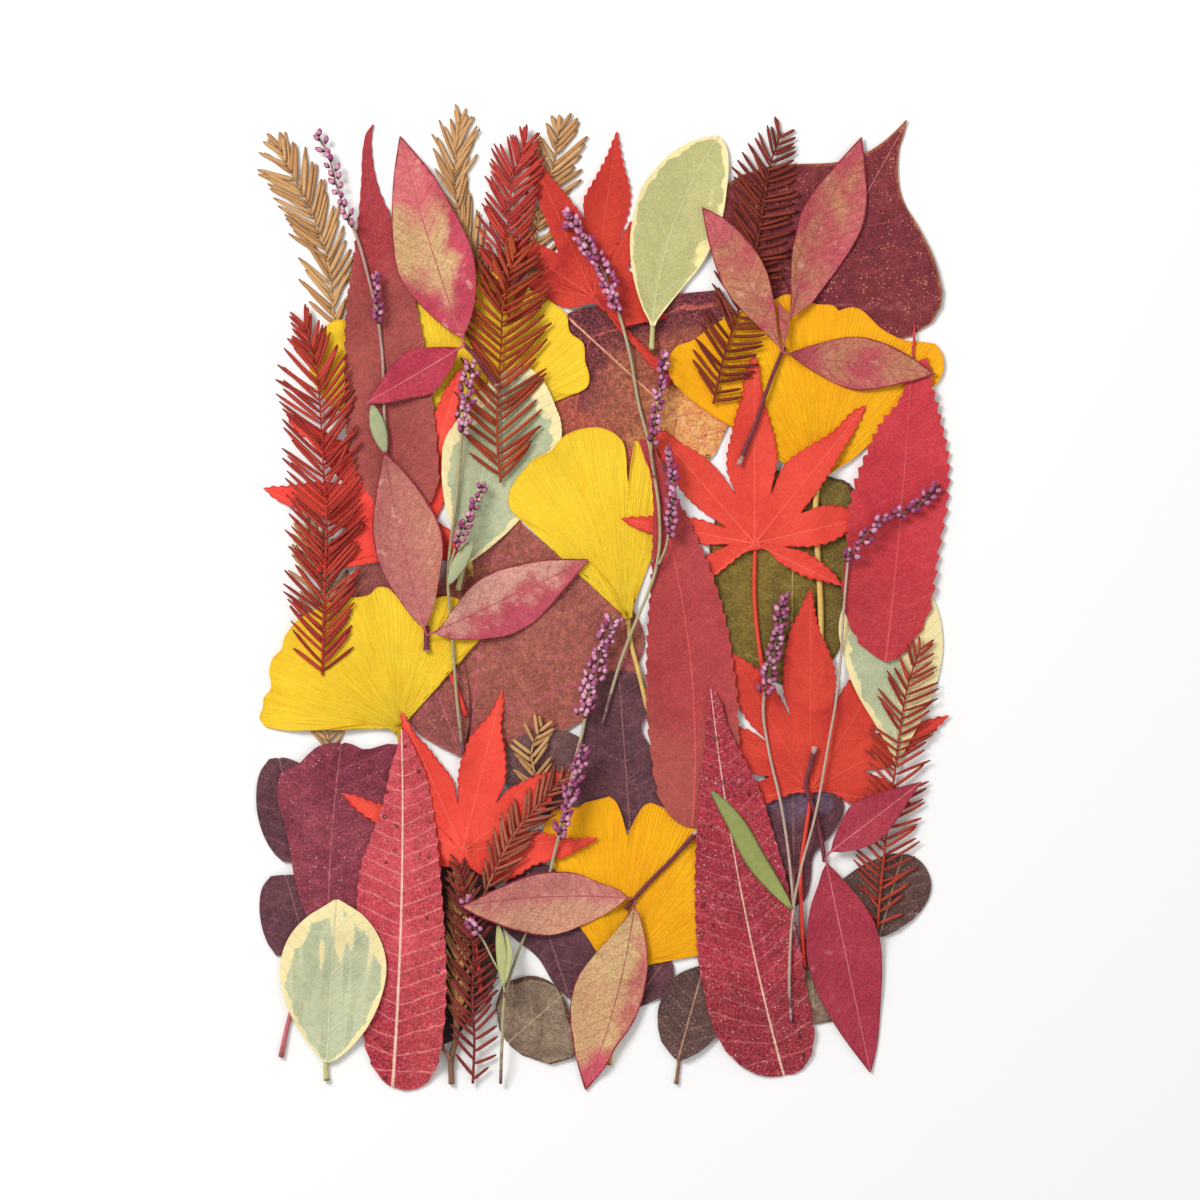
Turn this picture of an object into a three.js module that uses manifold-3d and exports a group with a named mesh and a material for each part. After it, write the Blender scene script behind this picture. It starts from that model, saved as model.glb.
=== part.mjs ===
// A bunch of pressed autumn leaves, lying flat: sixty leaves, sprigs and flower stems in layers.
// Millimetres, +Z up. The origin is on the table under the middle of the bunch.
// Every leaf is a thin closed plate that sags over the leaves below it and never touches them.

import * as THREE from 'three';
import { mergeVertices } from 'three/addons/utils/BufferGeometryUtils.js';
import Module from 'manifold-3d';

const wasm = await Module();
wasm.setup();

// ---------------------------------------------------------------- driving dimensions

const LEAF_THICKNESS = 0.3;
const LEAF_GAP = 0.3;
const BUNCH_WIDTH = 212;
const BUNCH_LENGTH = 298;
const SAG_CELL = 21;             // spacing of the grid on which every leaf bends
const SAG_MARGIN = 9.37;         // how far that grid reaches past the bunch
const PRISM_HEIGHT = 60;         // taller than the pile, for cutting outlines

const PETIOLE_WIDTH = 1.5;
const FINE_STEM_WIDTH = 1.3;
const NEEDLE_PITCH = 7.5;        // one simplified needle group every so far along a sprig
const NEEDLE_LEAN = 0.85;        // how far a needle reaches forward for each unit sideways
const SPRIG_CORE = 1.1;          // half width of a sprig between its needle groups
const SPIKE_SIDES = 8;           // corners along each side of a flower spike

// ---------------------------------------------------------------- finishes

const FINISH = {
  ginkgoYellow: { color: 0xf2cb34, roughness: 0.7 },
  ginkgoOrange: { color: 0xf2b01c, roughness: 0.7 },
  mapleRed: { color: 0xe84a37, roughness: 0.65 },
  sumacCrimson: { color: 0xb93a4c, roughness: 0.6 },
  nandinaPink: { color: 0xbb5f66, roughness: 0.55 },
  paleGreen: { color: 0xc9cba0, roughness: 0.6 },
  tanNeedle: { color: 0xbe915a, roughness: 0.75 },
  rustNeedle: { color: 0x96402c, roughness: 0.7 },
  flowerPurple: { color: 0xa8639b, roughness: 0.7 },
  tallowCrimson: { color: 0x7a2a38, roughness: 0.6 },
  driedBrown: { color: 0x804a30, roughness: 0.75 },
  driedPurple: { color: 0x4b2d36, roughness: 0.7 },
  driedOlive: { color: 0x70622e, roughness: 0.7 },
};

// ---------------------------------------------------------------- outlines

/** A ribbon of the given width along a bent line, as one closed outline. */
function ribbon(line, width, endWidth = width) {
  const left = [];
  const right = [];
  line.forEach(([x, y], i) => {
    const [ax, ay] = line[Math.max(i - 1, 0)];
    const [bx, by] = line[Math.min(i + 1, line.length - 1)];
    const run = Math.hypot(bx - ax, by - ay);
    const half = THREE.MathUtils.lerp(width, endWidth, i / (line.length - 1)) / 2;
    const nx = -(by - ay) / run * half;
    const ny = (bx - ax) / run * half;
    left.push([x + nx, y + ny]);
    right.unshift([x - nx, y - ny]);
  });
  return [...left, ...right];
}

/** Evenly spaced stations along a bent line: where each one is and which way the line runs. */
function stations(line, pitch) {
  const found = [];
  let travelled = 0;
  let next = pitch / 2;
  for (let i = 1; i < line.length; i += 1) {
    const [ax, ay] = line[i - 1];
    const [bx, by] = line[i];
    const run = Math.hypot(bx - ax, by - ay);
    while (next < travelled + run) {
      const t = (next - travelled) / run;
      found.push({
        at: [ax + (bx - ax) * t, ay + (by - ay) * t],
        along: [(bx - ax) / run, (by - ay) / run],
      });
      next += pitch;
    }
    travelled += run;
  }
  return found;
}

/** A conifer sprig: a row of pointed needle groups on both sides of its stalk, root to apex. */
function feather(stalk, leftReach, rightReach) {
  const side = (reach, sign) => stations(stalk, NEEDLE_PITCH).flatMap(({ at, along }, i, all) => {
    const t = (i + 0.5) / all.length;
    const taper = Math.sin(Math.PI * Math.min(0.5, 0.22 + 1.6 * (1 - t)));
    const out = reach * taper;
    const [ux, uy] = along;
    const across = [-uy * sign, ux * sign];
    const lean = out * NEEDLE_LEAN;
    return [
      [at[0] + across[0] * SPRIG_CORE, at[1] + across[1] * SPRIG_CORE],
      [at[0] + across[0] * out + ux * lean, at[1] + across[1] * out + uy * lean],
    ];
  });
  const root = stalk[0];
  const apex = stalk[stalk.length - 1];
  return [root, ...side(rightReach, -1), apex, ...side(leftReach, 1).reverse()];
}

/** A dense flower spike: a long oval on a bent axis. */
function spike(axis, width) {
  const length = axis.slice(1).reduce(
    (sum, [x, y], i) => sum + Math.hypot(x - axis[i][0], y - axis[i][1]), 0);
  const steps = stations(axis, length / SPIKE_SIDES);
  const side = (sign) => steps.map(({ at, along }, i) => {
    const half = width / 2 * Math.sqrt(Math.sin(Math.PI * (i + 0.5) / steps.length));
    return [at[0] - along[1] * half * sign, at[1] + along[0] * half * sign];
  });
  return [axis[0], ...side(1), axis[axis.length - 1], ...side(-1).reverse()];
}

// ---------------------------------------------------------------- the layers, lowest first

const layers = [];

/** Adds one piece to the pile: the union of its outlines, in one finish. */
function lay(name, finish, ...outlines) {
  layers.push({ name, finish, outlines });
}

// Broad leaves that lie on the table.

lay('crimson_heart_leaf', FINISH.tallowCrimson, [
  [92.5, 148.7], [88, 144], [83, 140], [78.5, 137.5], [72, 135.5], [58, 134.7], [50, 134], [44, 132],
  [38, 130.5], [36.7, 120], [36, 108], [40, 97], [48, 88], [58, 83], [74, 80], [88, 80.5], [97, 84],
  [100.5, 87], [103.3, 94], [102.5, 99], [100.5, 106], [95, 117], [92, 122], [90, 128], [90, 139],
  [91.5, 144],
]);

lay('tan_sprig_top_left', FINISH.tanNeedle,
  feather([[-82, 84], [-83, 93], [-84, 104], [-88, 117], [-91, 124], [-95, 131], [-99, 140]], 10, 8));

lay('tan_sprig_upper', FINISH.tanNeedle,
  feather([[-35, 97], [-40, 110], [-44.5, 121], [-45.5, 132], [-44, 147]], 6, 7));

lay('tan_sprig_top', FINISH.tanNeedle,
  feather([[-22, 98], [-21, 112], [-18.5, 124], [-16, 133], [-13.5, 146]], 6.5, 9));

lay('dark_leaf_left_upper', FINISH.driedPurple, [
  [-102, -46.5], [-97, -46.3], [-90, -50], [-86, -58], [-87, -69], [-91, -77], [-96, -79.5],
  [-101, -75], [-104.5, -68], [-106, -60], [-105, -51],
]);

lay('dark_leaf_left_lower', FINISH.driedPurple, [
  [-101.5, -82.3], [-94, -82], [-87, -86], [-84, -94], [-86, -102], [-92, -107], [-98.5, -108.3],
  [-102, -104], [-104.5, -97], [-105, -90], [-104, -85.5],
]);

lay('tan_sprig_left', FINISH.tanNeedle,
  feather([[-84, -46], [-84.5, -34], [-85, -18], [-85.5, -4], [-87, 10], [-91, 22]], 9, 10));

lay('brown_leaf_center', FINISH.driedBrown, [
  [-27, 27], [-36, 24], [-46, 14], [-53, 0], [-57, -16], [-56, -30], [-50, -41], [-43, -45.7],
  [-36, -46.5], [-28, -45], [-15, -39.8], [-5, -34], [4, -27], [10, -19], [12.3, -10], [9.3, -2],
  [2, 5], [-6, 10.5], [-15, 16.5],
]);

lay('olive_leaf', FINISH.driedOlive, [
  [33, 9], [33, 22], [38, 33], [48, 40], [60, 41.5], [69, 39], [74, 37.5], [77, 32], [77.5, 20],
  [76, 8], [73.5, -4], [71, -14], [64, -22], [56, -25], [47, -20], [39, -14.5], [35, -3],
]);

lay('brown_lobed_leaf', FINISH.driedBrown, [
  [-12, 89], [-5, 91], [4, 91], [13, 93], [21, 95.5], [28, 100.5], [33, 99.5], [38, 91], [41, 79],
  [41, 66], [38, 56], [36, 51], [33, 45.5], [28, 43.5], [20, 45], [12, 40], [7.5, 34], [2, 38],
  [-4, 46], [-12, 52], [-17, 60], [-17.5, 71], [-15, 81],
]);

lay('dark_leaf_middle_left', FINISH.driedPurple, [
  [-30, -43], [-22, -38.5], [-12, -38], [-4, -42], [-2.5, -50], [-5, -58], [-12, -63.5], [-21, -63],
  [-28, -57], [-31, -50],
]);

lay('dark_leaf_middle_right', FINISH.driedPurple, [
  [-1, -23], [5, -19.5], [10.5, -21], [13, -27], [12.5, -33], [11.5, -38], [14.7, -44], [15.5, -50],
  [18.5, -58], [17.5, -65], [9, -68], [-2, -66], [-8, -58], [-9, -47], [-6, -37],
]);

lay('tan_sprig_middle', FINISH.tanNeedle,
  feather([[-20, -62], [-21, -52], [-22, -44], [-19, -37]], 6, 6));

lay('dark_leaf_bottom', FINISH.driedPurple, [
  [-27, -81], [-22, -78], [-16, -79.5], [-8, -86], [-3, -95], [-3, -105], [-7, -114], [-10.5, -120],
  [-15, -115.5], [-20, -107.5], [-25, -103], [-30.5, -98], [-33, -90],
]);

lay('grey_leaf_bottom', FINISH.driedOlive, [
  [-28, -114], [-21, -112.8], [-14, -116.5], [-10.5, -125], [-8, -134], [-10, -138.7], [-17, -139.7],
  [-26, -136.3], [-31.5, -130], [-33, -121], [-31.5, -115.5],
]);

lay('dark_leaf_bottom_right', FINISH.driedPurple, [
  [12, -106], [19.5, -105.5], [21.5, -111], [20, -117], [15, -120.5], [9, -123], [4, -120], [5, -111],
]);

lay('speckled_leaf', FINISH.driedPurple,
  [[31, -109], [22, -112.7], [17.5, -119.5], [16.3, -126], [18, -134], [22.3, -139], [28, -136.7],
    [34.5, -131], [39, -121], [37, -112]],
  ribbon([[23, -136], [22.6, -141], [22, -145.7]], PETIOLE_WIDTH));

lay('dark_leaf_right', FINISH.driedPurple, [
  [49, -59], [49, -48], [57, -43], [67, -47], [72, -57], [73, -62], [69, -70], [64, -76], [63, -84],
  [61, -90], [57, -92], [53, -86], [49, -75], [47, -66],
]);

lay('grey_leaf_right', FINISH.driedOlive, [
  [61, -101], [60, -112], [60.5, -122], [64, -127.7], [70, -126.5], [73, -119], [71, -109], [66, -102],
]);

lay('brown_oval_leaf', FINISH.driedPurple, [
  [73, -83], [78, -79.5], [83, -77], [88, -75.5], [93, -75.8], [97, -78.3], [99.7, -84], [99, -89],
  [95.5, -94.3], [90, -98.5], [84, -101], [78, -99], [73, -92],
]);

lay('dark_leaf_bottom_left', FINISH.driedPurple, [
  [-50, -79], [-44, -77.3], [-37, -80], [-32, -90], [-31, -105], [-35, -118], [-41, -126],
  [-47, -133], [-53, -134], [-57, -122], [-58, -105], [-55, -88],
]);

lay('tan_sprig_bottom', FINISH.tanNeedle,
  feather([[-45, -128], [-45, -115], [-44.5, -103], [-44, -90], [-43, -79]], 5, 5),
  ribbon([[-46.5, -146], [-46.5, -138], [-45, -131], [-44.8, -124]], PETIOLE_WIDTH + 0.4),
  ribbon([[-46.3, -138.5], [-48, -136.3], [-49.5, -133.5]], PETIOLE_WIDTH));

lay('purple_leaf_left', FINISH.sumacCrimson,
  [[-93, -48], [-90, -45], [-87, -42.7], [-82, -41.5], [-77, -42], [-73, -43.7], [-66, -42],
    [-58, -44], [-53, -52], [-51, -64], [-55, -78], [-62, -89], [-72, -96], [-84, -99], [-90, -95],
    [-94, -84], [-96, -73], [-97.5, -66], [-99.7, -58], [-98.7, -51]],
  ribbon([[-84, -96], [-89, -108], [-95.5, -124], [-98.5, -137.5]], PETIOLE_WIDTH));

lay('brown_leaf_left', FINISH.driedBrown, [
  [-70, 13], [-63, 13], [-55, 6], [-48, -5], [-42.5, -18], [-41, -33], [-43, -46.3], [-52, -41.8],
  [-57, -38.3], [-62, -30], [-70, -18], [-77, -5], [-79, 3], [-76, 9.5],
]);

// Large coloured leaves.

lay('maple_top', FINISH.mapleRed,
  [[-3, 92], [0, 90], [5, 90.5], [8, 88], [12, 86.5], [16, 86], [21.5, 85], [17, 90.5], [11.5, 97],
    [7, 102.5], [9, 110], [10, 119], [6, 113.5], [4.5, 110.5], [6.5, 117.5], [7.7, 123], [7.5, 128],
    [6, 133], [4.7, 139], [4, 145], [2, 139], [0, 135], [-2, 131], [-4, 127.5], [-6, 123.5],
    [-6, 117.5], [-7.5, 120], [-11, 124], [-16, 130], [-20, 135], [-23, 139.5], [-22, 132],
    [-19.5, 123], [-16, 114], [-14, 107.5], [-20, 110], [-29, 111.5], [-24, 106], [-18.5, 100.5],
    [-24, 98], [-20, 95.3], [-15, 92.5], [-10, 91]],
  ribbon([[-3, 96], [1, 90.5], [5, 85], [12, 78], [17, 73], [19.5, 70], [19, 67]], 1.2));

lay('ginkgo_top', FINISH.ginkgoYellow,
  [[-46, 49.5], [-56, 52], [-70, 56.5], [-83, 61], [-88, 67], [-90, 75], [-87.5, 82], [-83, 86.5],
    [-79, 87.5], [-70, 92], [-60, 98], [-50, 102.5], [-42, 104.5], [-37.5, 103.5], [-32, 100.5],
    [-27, 98], [-22, 96], [-15, 92], [-11.5, 89], [-10.3, 83.5], [-6.3, 80], [-5.7, 74.5], [-4.5, 70.3],
    [-5, 67], [-8, 65], [-12, 64.6], [-17, 65], [-27, 60.5], [-37, 54]],
  ribbon([[-45, 52], [-44, 40], [-42.5, 25], [-40.5, 9]], PETIOLE_WIDTH));

lay('ginkgo_right', FINISH.ginkgoOrange,
  [[65, 36.5], [70, 41], [76, 45], [83, 51.5], [91, 59], [99, 66], [102, 68.5], [103.5, 72.3],
    [103, 77], [101, 80], [97, 80.5], [92, 81], [88, 82.5], [84, 85], [81, 88], [78, 90.5], [75, 91],
    [71.5, 90], [70, 91.5], [65, 92], [56, 95], [51, 93], [40, 89], [33, 85.5], [27, 81], [22, 79],
    [19.7, 75], [20, 70], [24, 65], [31, 59.5], [40, 54], [50, 47], [58, 41]],
  ribbon([[65, 40], [64.5, 31], [65, 18], [66, 0], [66, -15], [66, -30.5]], 1.9, 2.3));

lay('ginkgo_bottom', FINISH.ginkgoOrange,
  [[-15, -80.5], [-15.7, -77], [-18.5, -69], [-17.5, -65], [-15, -62], [-12, -61], [-8, -61.3],
    [-6, -60], [-2, -59], [1.5, -58], [3.5, -59.5], [5, -62.5], [6, -66], [7.1, -70], [8.5, -67],
    [10, -64], [12, -61], [14, -60], [17, -61], [22, -63.5], [29, -67], [35, -74], [38, -84],
    [37, -96], [33, -104], [28.5, -106.6], [13, -107.7], [6, -112.5], [2, -111.5], [-2.5, -105],
    [-5, -101], [-8, -97], [-12, -90]],
  ribbon([[4, -110], [3.2, -125], [1.5, -140]], PETIOLE_WIDTH));

lay('maple_left', FINISH.mapleRed,
  [[-60, 12.5], [-65, 15], [-70, 15.7], [-76, 14.5], [-82, 12.5], [-89, 10], [-85, 16], [-79, 21.5],
    [-74, 25.5], [-83, 27], [-92, 29.5], [-99, 32.3], [-104, 36], [-97, 36.3], [-88, 37.5],
    [-75, 36.5], [-82, 44.5], [-89, 50.5], [-94, 54], [-97, 58.7], [-91, 56], [-83, 51.5],
    [-70, 43.5], [-72, 56], [-71, 68], [-68, 80], [-63, 66], [-59, 50], [-57, 42], [-53, 54],
    [-48.5, 65], [-43.3, 73], [-44.3, 64], [-46, 54], [-46.3, 44], [-48, 35], [-51, 26],
    [-46, 22], [-42, 15], [-50, 14], [-56, 13]],
  ribbon([[-60, 15], [-54, -2], [-48, -18], [-45, -25], [-42, -33.5]], 1.3));

lay('sumac_top_left', FINISH.sumacCrimson, [
  [-70, 147.5], [-72.5, 144], [-73.5, 139], [-73.9, 130], [-74.7, 118], [-76, 106], [-77.5, 96],
  [-78.4, 86], [-78.5, 75], [-78.6, 65], [-78.3, 56], [-77, 46], [-74, 39], [-70, 32], [-64, 26],
  [-58, 26], [-53.5, 31], [-50.8, 38], [-51, 47], [-52, 58], [-53.5, 70], [-56, 83], [-58.5, 96],
  [-61.5, 107], [-65.5, 119], [-68.5, 126.5], [-70, 132], [-70.8, 138], [-70.9, 143],
]);

lay('ginkgo_left', FINISH.ginkgoYellow,
  [[-61.5, -35], [-58.5, -31], [-50, -21], [-42, -14], [-37.5, -10], [-38.5, -4], [-42, 0.5],
    [-47, 3], [-53, 2], [-58, 0.5], [-63, 3], [-66, 5.5], [-69, 5.7], [-71.5, 3.5], [-79, 2.3],
    [-84, 1], [-90, -2], [-94, -5], [-97.5, -10], [-98.2, -13], [-101, -16], [-102, -20],
    [-101.5, -25], [-103.7, -28], [-104, -31], [-105, -34], [-103.5, -36.7], [-99, -37.7],
    [-92, -38], [-85, -37.5], [-78, -36.5], [-72, -36], [-67, -36.7], [-63.5, -39]],
  ribbon([[-62.5, -36], [-62, -40], [-61.3, -43]], 1.9));

lay('maple_bottom_left', FINISH.mapleRed,
  [[-44, -77.5], [-50, -79.3], [-57, -74], [-64, -69], [-70, -65.5], [-75, -62], [-80, -57],
    [-75, -58.3], [-69, -60.5], [-60, -62], [-54, -64], [-57, -54], [-60, -43], [-62, -31.5],
    [-59.5, -36], [-57, -40], [-54, -43], [-51, -47], [-48.5, -50], [-46, -54], [-44.5, -60],
    [-44, -51], [-42.5, -46], [-41, -41], [-38.5, -37.5], [-36, -35], [-33.7, -31.5], [-31, -25.5],
    [-31, -31], [-31.7, -37], [-30.3, -45], [-30.5, -54], [-32.7, -59.7], [-30, -56.7], [-25, -54],
    [-20, -51.7], [-15, -50.7], [-10, -51], [-14, -56], [-19, -62], [-25, -68.5], [-19, -69.2],
    [-13, -70.7], [-8, -71.3], [-1.5, -70.5], [-6, -73], [-12, -76], [-17, -77.5], [-22, -79],
    [-26, -81.7], [-33, -84.5], [-39, -81]],
  ribbon([[-44, -74], [-42.3, -90], [-39, -104], [-37.5, -118]], 1.2));

lay('variegated_center', FINISH.paleGreen,
  [[-24.5, 74], [-22, 72], [-19, 69], [-16.7, 65], [-15, 61], [-13.5, 57], [-13, 52], [-15, 45],
    [-18, 38], [-22, 31], [-26.5, 25.5], [-31, 21.5], [-37, 16], [-43.5, 11], [-45, 20], [-47, 26],
    [-48.7, 33], [-49.3, 42], [-48.5, 50], [-45, 56], [-40, 63], [-33, 69.5]],
  ribbon([[-42, 15], [-43.3, 10], [-44.5, 4.5]], 2));

lay('ginkgo_center', FINISH.ginkgoYellow,
  [[-29, 31], [-28.7, 35], [-26.5, 39], [-24, 42], [-21, 45], [-16, 47.3], [-14, 50], [-11, 52.5],
    [-7, 53.5], [-3, 54.5], [1, 53.7], [4, 52], [6, 49.5], [6.8, 45.5], [7, 41], [7.4, 37.5],
    [8, 42], [8.7, 47], [9.5, 50.5], [11, 49.5], [12.7, 46], [14.5, 42], [15.2, 35], [15.3, 27],
    [15, 20], [14.3, 14], [11.3, 8.5], [9.5, 4], [8.8, -1], [8.5, -6], [6.3, -6], [4.3, 1.5],
    [2, 6], [-1, 10], [-5, 14], [-10, 17.5], [-15, 20.5], [-20, 24], [-25, 26.5], [-28, 28.7]],
  ribbon([[7.3, -2], [8, -10], [10.5, -20], [13.5, -32]], PETIOLE_WIDTH));

lay('maple_center', FINISH.mapleRed,
  [[46, 17], [43, 16.5], [38, 13], [33, 9], [27, 4.5], [28, 10.5], [32, 15.5], [38, 18.7],
    [30, 19], [22, 20.3], [15, 22.5], [10, 24], [5, 26.7], [15, 26.7], [26, 26.7], [37, 24],
    [31, 28.5], [26, 33], [22, 38], [19, 43], [16.7, 48], [15.5, 54], [19, 52.7], [23, 49.5],
    [27, 47.3], [31, 44.5], [36, 39.5], [40, 34], [37.9, 41], [37.8, 46], [38.7, 50.5], [40.5, 58],
    [42, 63], [43, 68], [44, 73], [46, 76.7], [47, 72], [47.7, 66], [49, 60.5], [50.3, 56],
    [51.7, 51], [52.3, 45], [51, 34.5], [55, 42.5], [59, 46], [63, 48.5], [70, 53], [73, 56],
    [76, 59], [80, 61.3], [78, 57], [75, 51.5], [72, 47], [69.5, 42.5], [66, 37], [60, 28.3],
    [67, 30.3], [73, 29.7], [80, 27], [74, 22.7], [70, 20.3], [65, 18.7], [55, 18], [61, 16.3],
    [65, 13.7], [69, 10.5], [72.7, 6], [68, 7.5], [62, 9], [57, 11.5], [53, 14], [49, 17.3]],
  ribbon([[46, 20], [46, 0], [47, -10], [48.5, -20]], 1.3));

lay('maple_right', FINISH.mapleRed,
  [[62, -57], [58, -56.7], [53, -58.5], [48.5, -60], [43, -59], [46, -54.5], [50.5, -52],
    [44.5, -50.5], [40, -45], [38, -37], [44, -38], [50, -41.5], [45, -36], [41.3, -30],
    [39.5, -23], [38.7, -14.3], [43, -17], [47, -20], [51.5, -25], [57, -34], [55, -26],
    [55, -18.5], [56, -12], [57, -7.5], [59.3, -3], [61.2, 1.5], [63, 5.7], [64, -2], [65.5, -8],
    [68, -13.5], [70, -20], [69.7, -31.5], [72, -27], [75, -23], [82, -15.5], [91, -10],
    [90, -19], [87, -29], [82, -39], [88, -38], [94, -36.7], [100, -34.7], [105.3, -33.3],
    [99.5, -38.5], [94, -42.7], [90, -46], [86, -49], [79, -50.3], [88, -54.5], [94, -61],
    [84, -61], [75, -59.7], [69, -56.5]],
  ribbon([[63.5, -52], [62.8, -60], [61, -72], [60, -80], [60, -90], [61, -110]], 1.4));

lay('variegated_right', FINISH.paleGreen, [
  [86, 14], [80, 10], [75, 4], [72, -3], [71.6, -9], [73, -15], [75, -22], [78, -28.5],
  [82, -35], [86, -42], [89.7, -50.3], [91, -46], [94, -40], [97, -34], [100, -27.5], [102.3, -20],
  [103.3, -12], [102.5, -4], [100, 3], [96, 9], [91, 13],
]);

lay('sumac_right', FINISH.sumacCrimson, [
  [94.5, 87.8], [94.7, 80], [93.7, 73], [92, 67], [89.5, 61], [85.5, 56], [82.5, 50.5], [80, 45],
  [77.7, 39], [76, 33], [75, 26], [74.3, 15], [73.4, 8], [73.3, 1], [75, -5], [78, -10.5],
  [81, -14], [85.8, -17.3], [90, -15.3], [94, -10.3], [97.3, -5], [99.3, 2], [100.7, 12], [102, 20],
  [103.5, 28], [104.4, 37], [104.2, 45], [102.8, 52], [101.3, 59], [99.5, 66], [98.3, 73], [97, 81],
]);

lay('sumac_center', FINISH.sumacCrimson, [
  [10.5, 51], [12, 46], [14, 41], [15, 33], [15.2, 22], [15, 11], [14.2, 0], [13.5, -12],
  [13.3, -24], [13.5, -34], [14.7, -45], [16, -54], [18.5, -61], [22.5, -66], [27, -67.5],
  [33, -66], [38, -60], [40.5, -50], [40.7, -40], [40.2, -28], [39, -18], [37.5, -8], [35, 2],
  [32, 11], [28.7, 19], [25.5, 26], [22, 32.5], [19, 39], [16, 46.5], [13.5, 50],
]);

lay('rust_sprig_bottom', FINISH.rustNeedle,
  feather([[-37, -89], [-31, -76], [-26, -67.5], [-19, -59.5], [-11, -51]], 8, 9));

lay('red_sprig_bottom', FINISH.rustNeedle,
  feather([[-40, -145.5], [-39.5, -132], [-40, -120], [-39.7, -105], [-41, -92], [-44, -79]], 8, 7));

lay('sumac_bottom_left', FINISH.sumacCrimson, [
  [-61.5, -37], [-63, -43.5], [-65, -50], [-67, -60], [-70.5, -70], [-74, -80.5], [-75, -92],
  [-74.8, -105], [-74.3, -118], [-73.2, -130], [-71.7, -137], [-69, -142.5], [-66.3, -145.7],
  [-64, -147], [-60, -147.8], [-56, -146.7], [-52.5, -143], [-50.3, -137], [-49, -129],
  [-48.3, -120], [-48.3, -108], [-49, -95], [-50, -81], [-51, -72], [-52.5, -62], [-54.5, -52],
  [-58, -43.5], [-60, -39],
]);

lay('flower_stem_bottom', FINISH.flowerPurple,
  spike([[3, -3], [-1, -15], [-4, -25], [-6, -33]], 9),
  ribbon([[-5, -29], [-6.5, -38], [-8.5, -46], [-11, -58], [-15, -75], [-17, -83], [-21, -92],
    [-24, -100], [-27, -108], [-30, -118], [-31, -132], [-31.5, -145.5]], FINE_STEM_WIDTH, 1.7),
  spike([[-6, -42], [-8, -50], [-11, -60], [-13.5, -69.5]], 6),
  ribbon([[-42, -95], [-38, -98], [-34, -106], [-31, -113], [-30, -119]], FINE_STEM_WIDTH),
  [[-33.3, -96.5], [-30.5, -97.5], [-28.3, -104], [-28, -109], [-30, -115], [-32.7, -105]]);

lay('nandina_bottom', FINISH.nandinaPink,
  [[11, -88], [4, -86], [-2, -84], [-8, -81.5], [-14, -80.8], [-22, -81.7], [-30, -84.7],
    [-37, -88], [-43.5, -91], [-38, -94.3], [-28, -98.3], [-18, -100.5], [-8, -99], [0, -95],
    [5, -91.5]],
  [[9.3, -88], [8, -92.5], [3, -99.5], [-3, -106], [-8.5, -113.5], [-10.3, -121], [-10, -130],
    [-8, -140], [-5.7, -148], [0, -141], [4, -134], [8, -128.5], [10.7, -123], [13, -113],
    [13.2, -104], [11, -94]],
  ribbon([[6.5, -92.5], [9.5, -89], [14, -84], [20, -78], [28.5, -68.5]], 1.5));

lay('sumac_bottom_right', FINISH.sumacCrimson, [
  [32.5, -24.5], [31.5, -31], [31, -42], [29.5, -54], [28.4, -70], [28, -84], [28.3, -97],
  [29, -108], [31, -119], [33.3, -128], [37, -135], [41, -139.3], [46, -142.5], [51, -143.6],
  [55, -143.3], [59, -142.3], [62, -139], [63.7, -133], [63.3, -125], [61.5, -117], [60, -106],
  [57.5, -94], [54.5, -80], [51, -68], [47.5, -57], [43, -48], [39.5, -41], [37, -35], [35.5, -29],
]);

lay('variegated_bottom_left', FINISH.paleGreen,
  [[-81.5, -89], [-85, -91.3], [-89, -93.7], [-93, -97], [-96.3, -101.5], [-98.3, -107],
    [-98.7, -113], [-97.3, -120], [-93.7, -128], [-89, -135], [-84.5, -139.5], [-81, -138],
    [-76.3, -133.7], [-71.5, -127.5], [-67.8, -119], [-66.3, -111], [-67, -105], [-69.5, -99],
    [-73.5, -94], [-78, -91]],
  ribbon([[-84.3, -136], [-84.8, -140], [-84.5, -144.7]], 2));

lay('pale_leaf_top', FINISH.paleGreen,
  [[35, 143.7], [30, 142.7], [25, 141], [20, 137.7], [15.5, 133], [12, 128.5], [9.5, 121], [8, 113],
    [8.2, 105], [9.5, 97.5], [12, 90], [14.7, 84.5], [18.5, 90], [24, 97], [29, 103], [33, 110],
    [36, 118], [37.3, 126], [38, 134], [37.3, 140]],
  ribbon([[15, 88], [14.7, 83], [14.5, 77.7]], 2));

// Conifer sprigs on top of the coloured leaves.

lay('red_sprig_top', FINISH.rustNeedle,
  feather([[-29, 88], [-30, 98], [-29.7, 110], [-29, 120], [-27.5, 131], [-24, 141]], 9, 10));

lay('rust_sprig_center', FINISH.rustNeedle,
  feather([[-31.5, 37.5], [-32.5, 50], [-32.5, 62], [-31.5, 78], [-30.5, 93], [-27, 107]], 9, 12));

lay('rust_sprig_left', FINISH.rustNeedle,
  feather([[-85.8, -21], [-85.5, -8], [-85, 10], [-84.5, 24], [-85.3, 38], [-86, 52], [-87, 66],
    [-88.5, 77], [-91, 85]], 12, 11));

lay('dark_sprig_right', FINISH.rustNeedle,
  feather([[33.3, 61.5], [36, 74], [40, 87], [43, 98], [46.5, 110], [48.5, 122], [50.5, 134],
    [54, 144]], 9, 9));

lay('rust_sprig_right', FINISH.rustNeedle,
  feather([[83.3, -98], [84.5, -84], [86, -70], [88, -55], [89.5, -43], [91, -32], [93.5, -21],
    [96.5, -13]], 9, 9));

// Sprays and flower stems on top.

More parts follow.
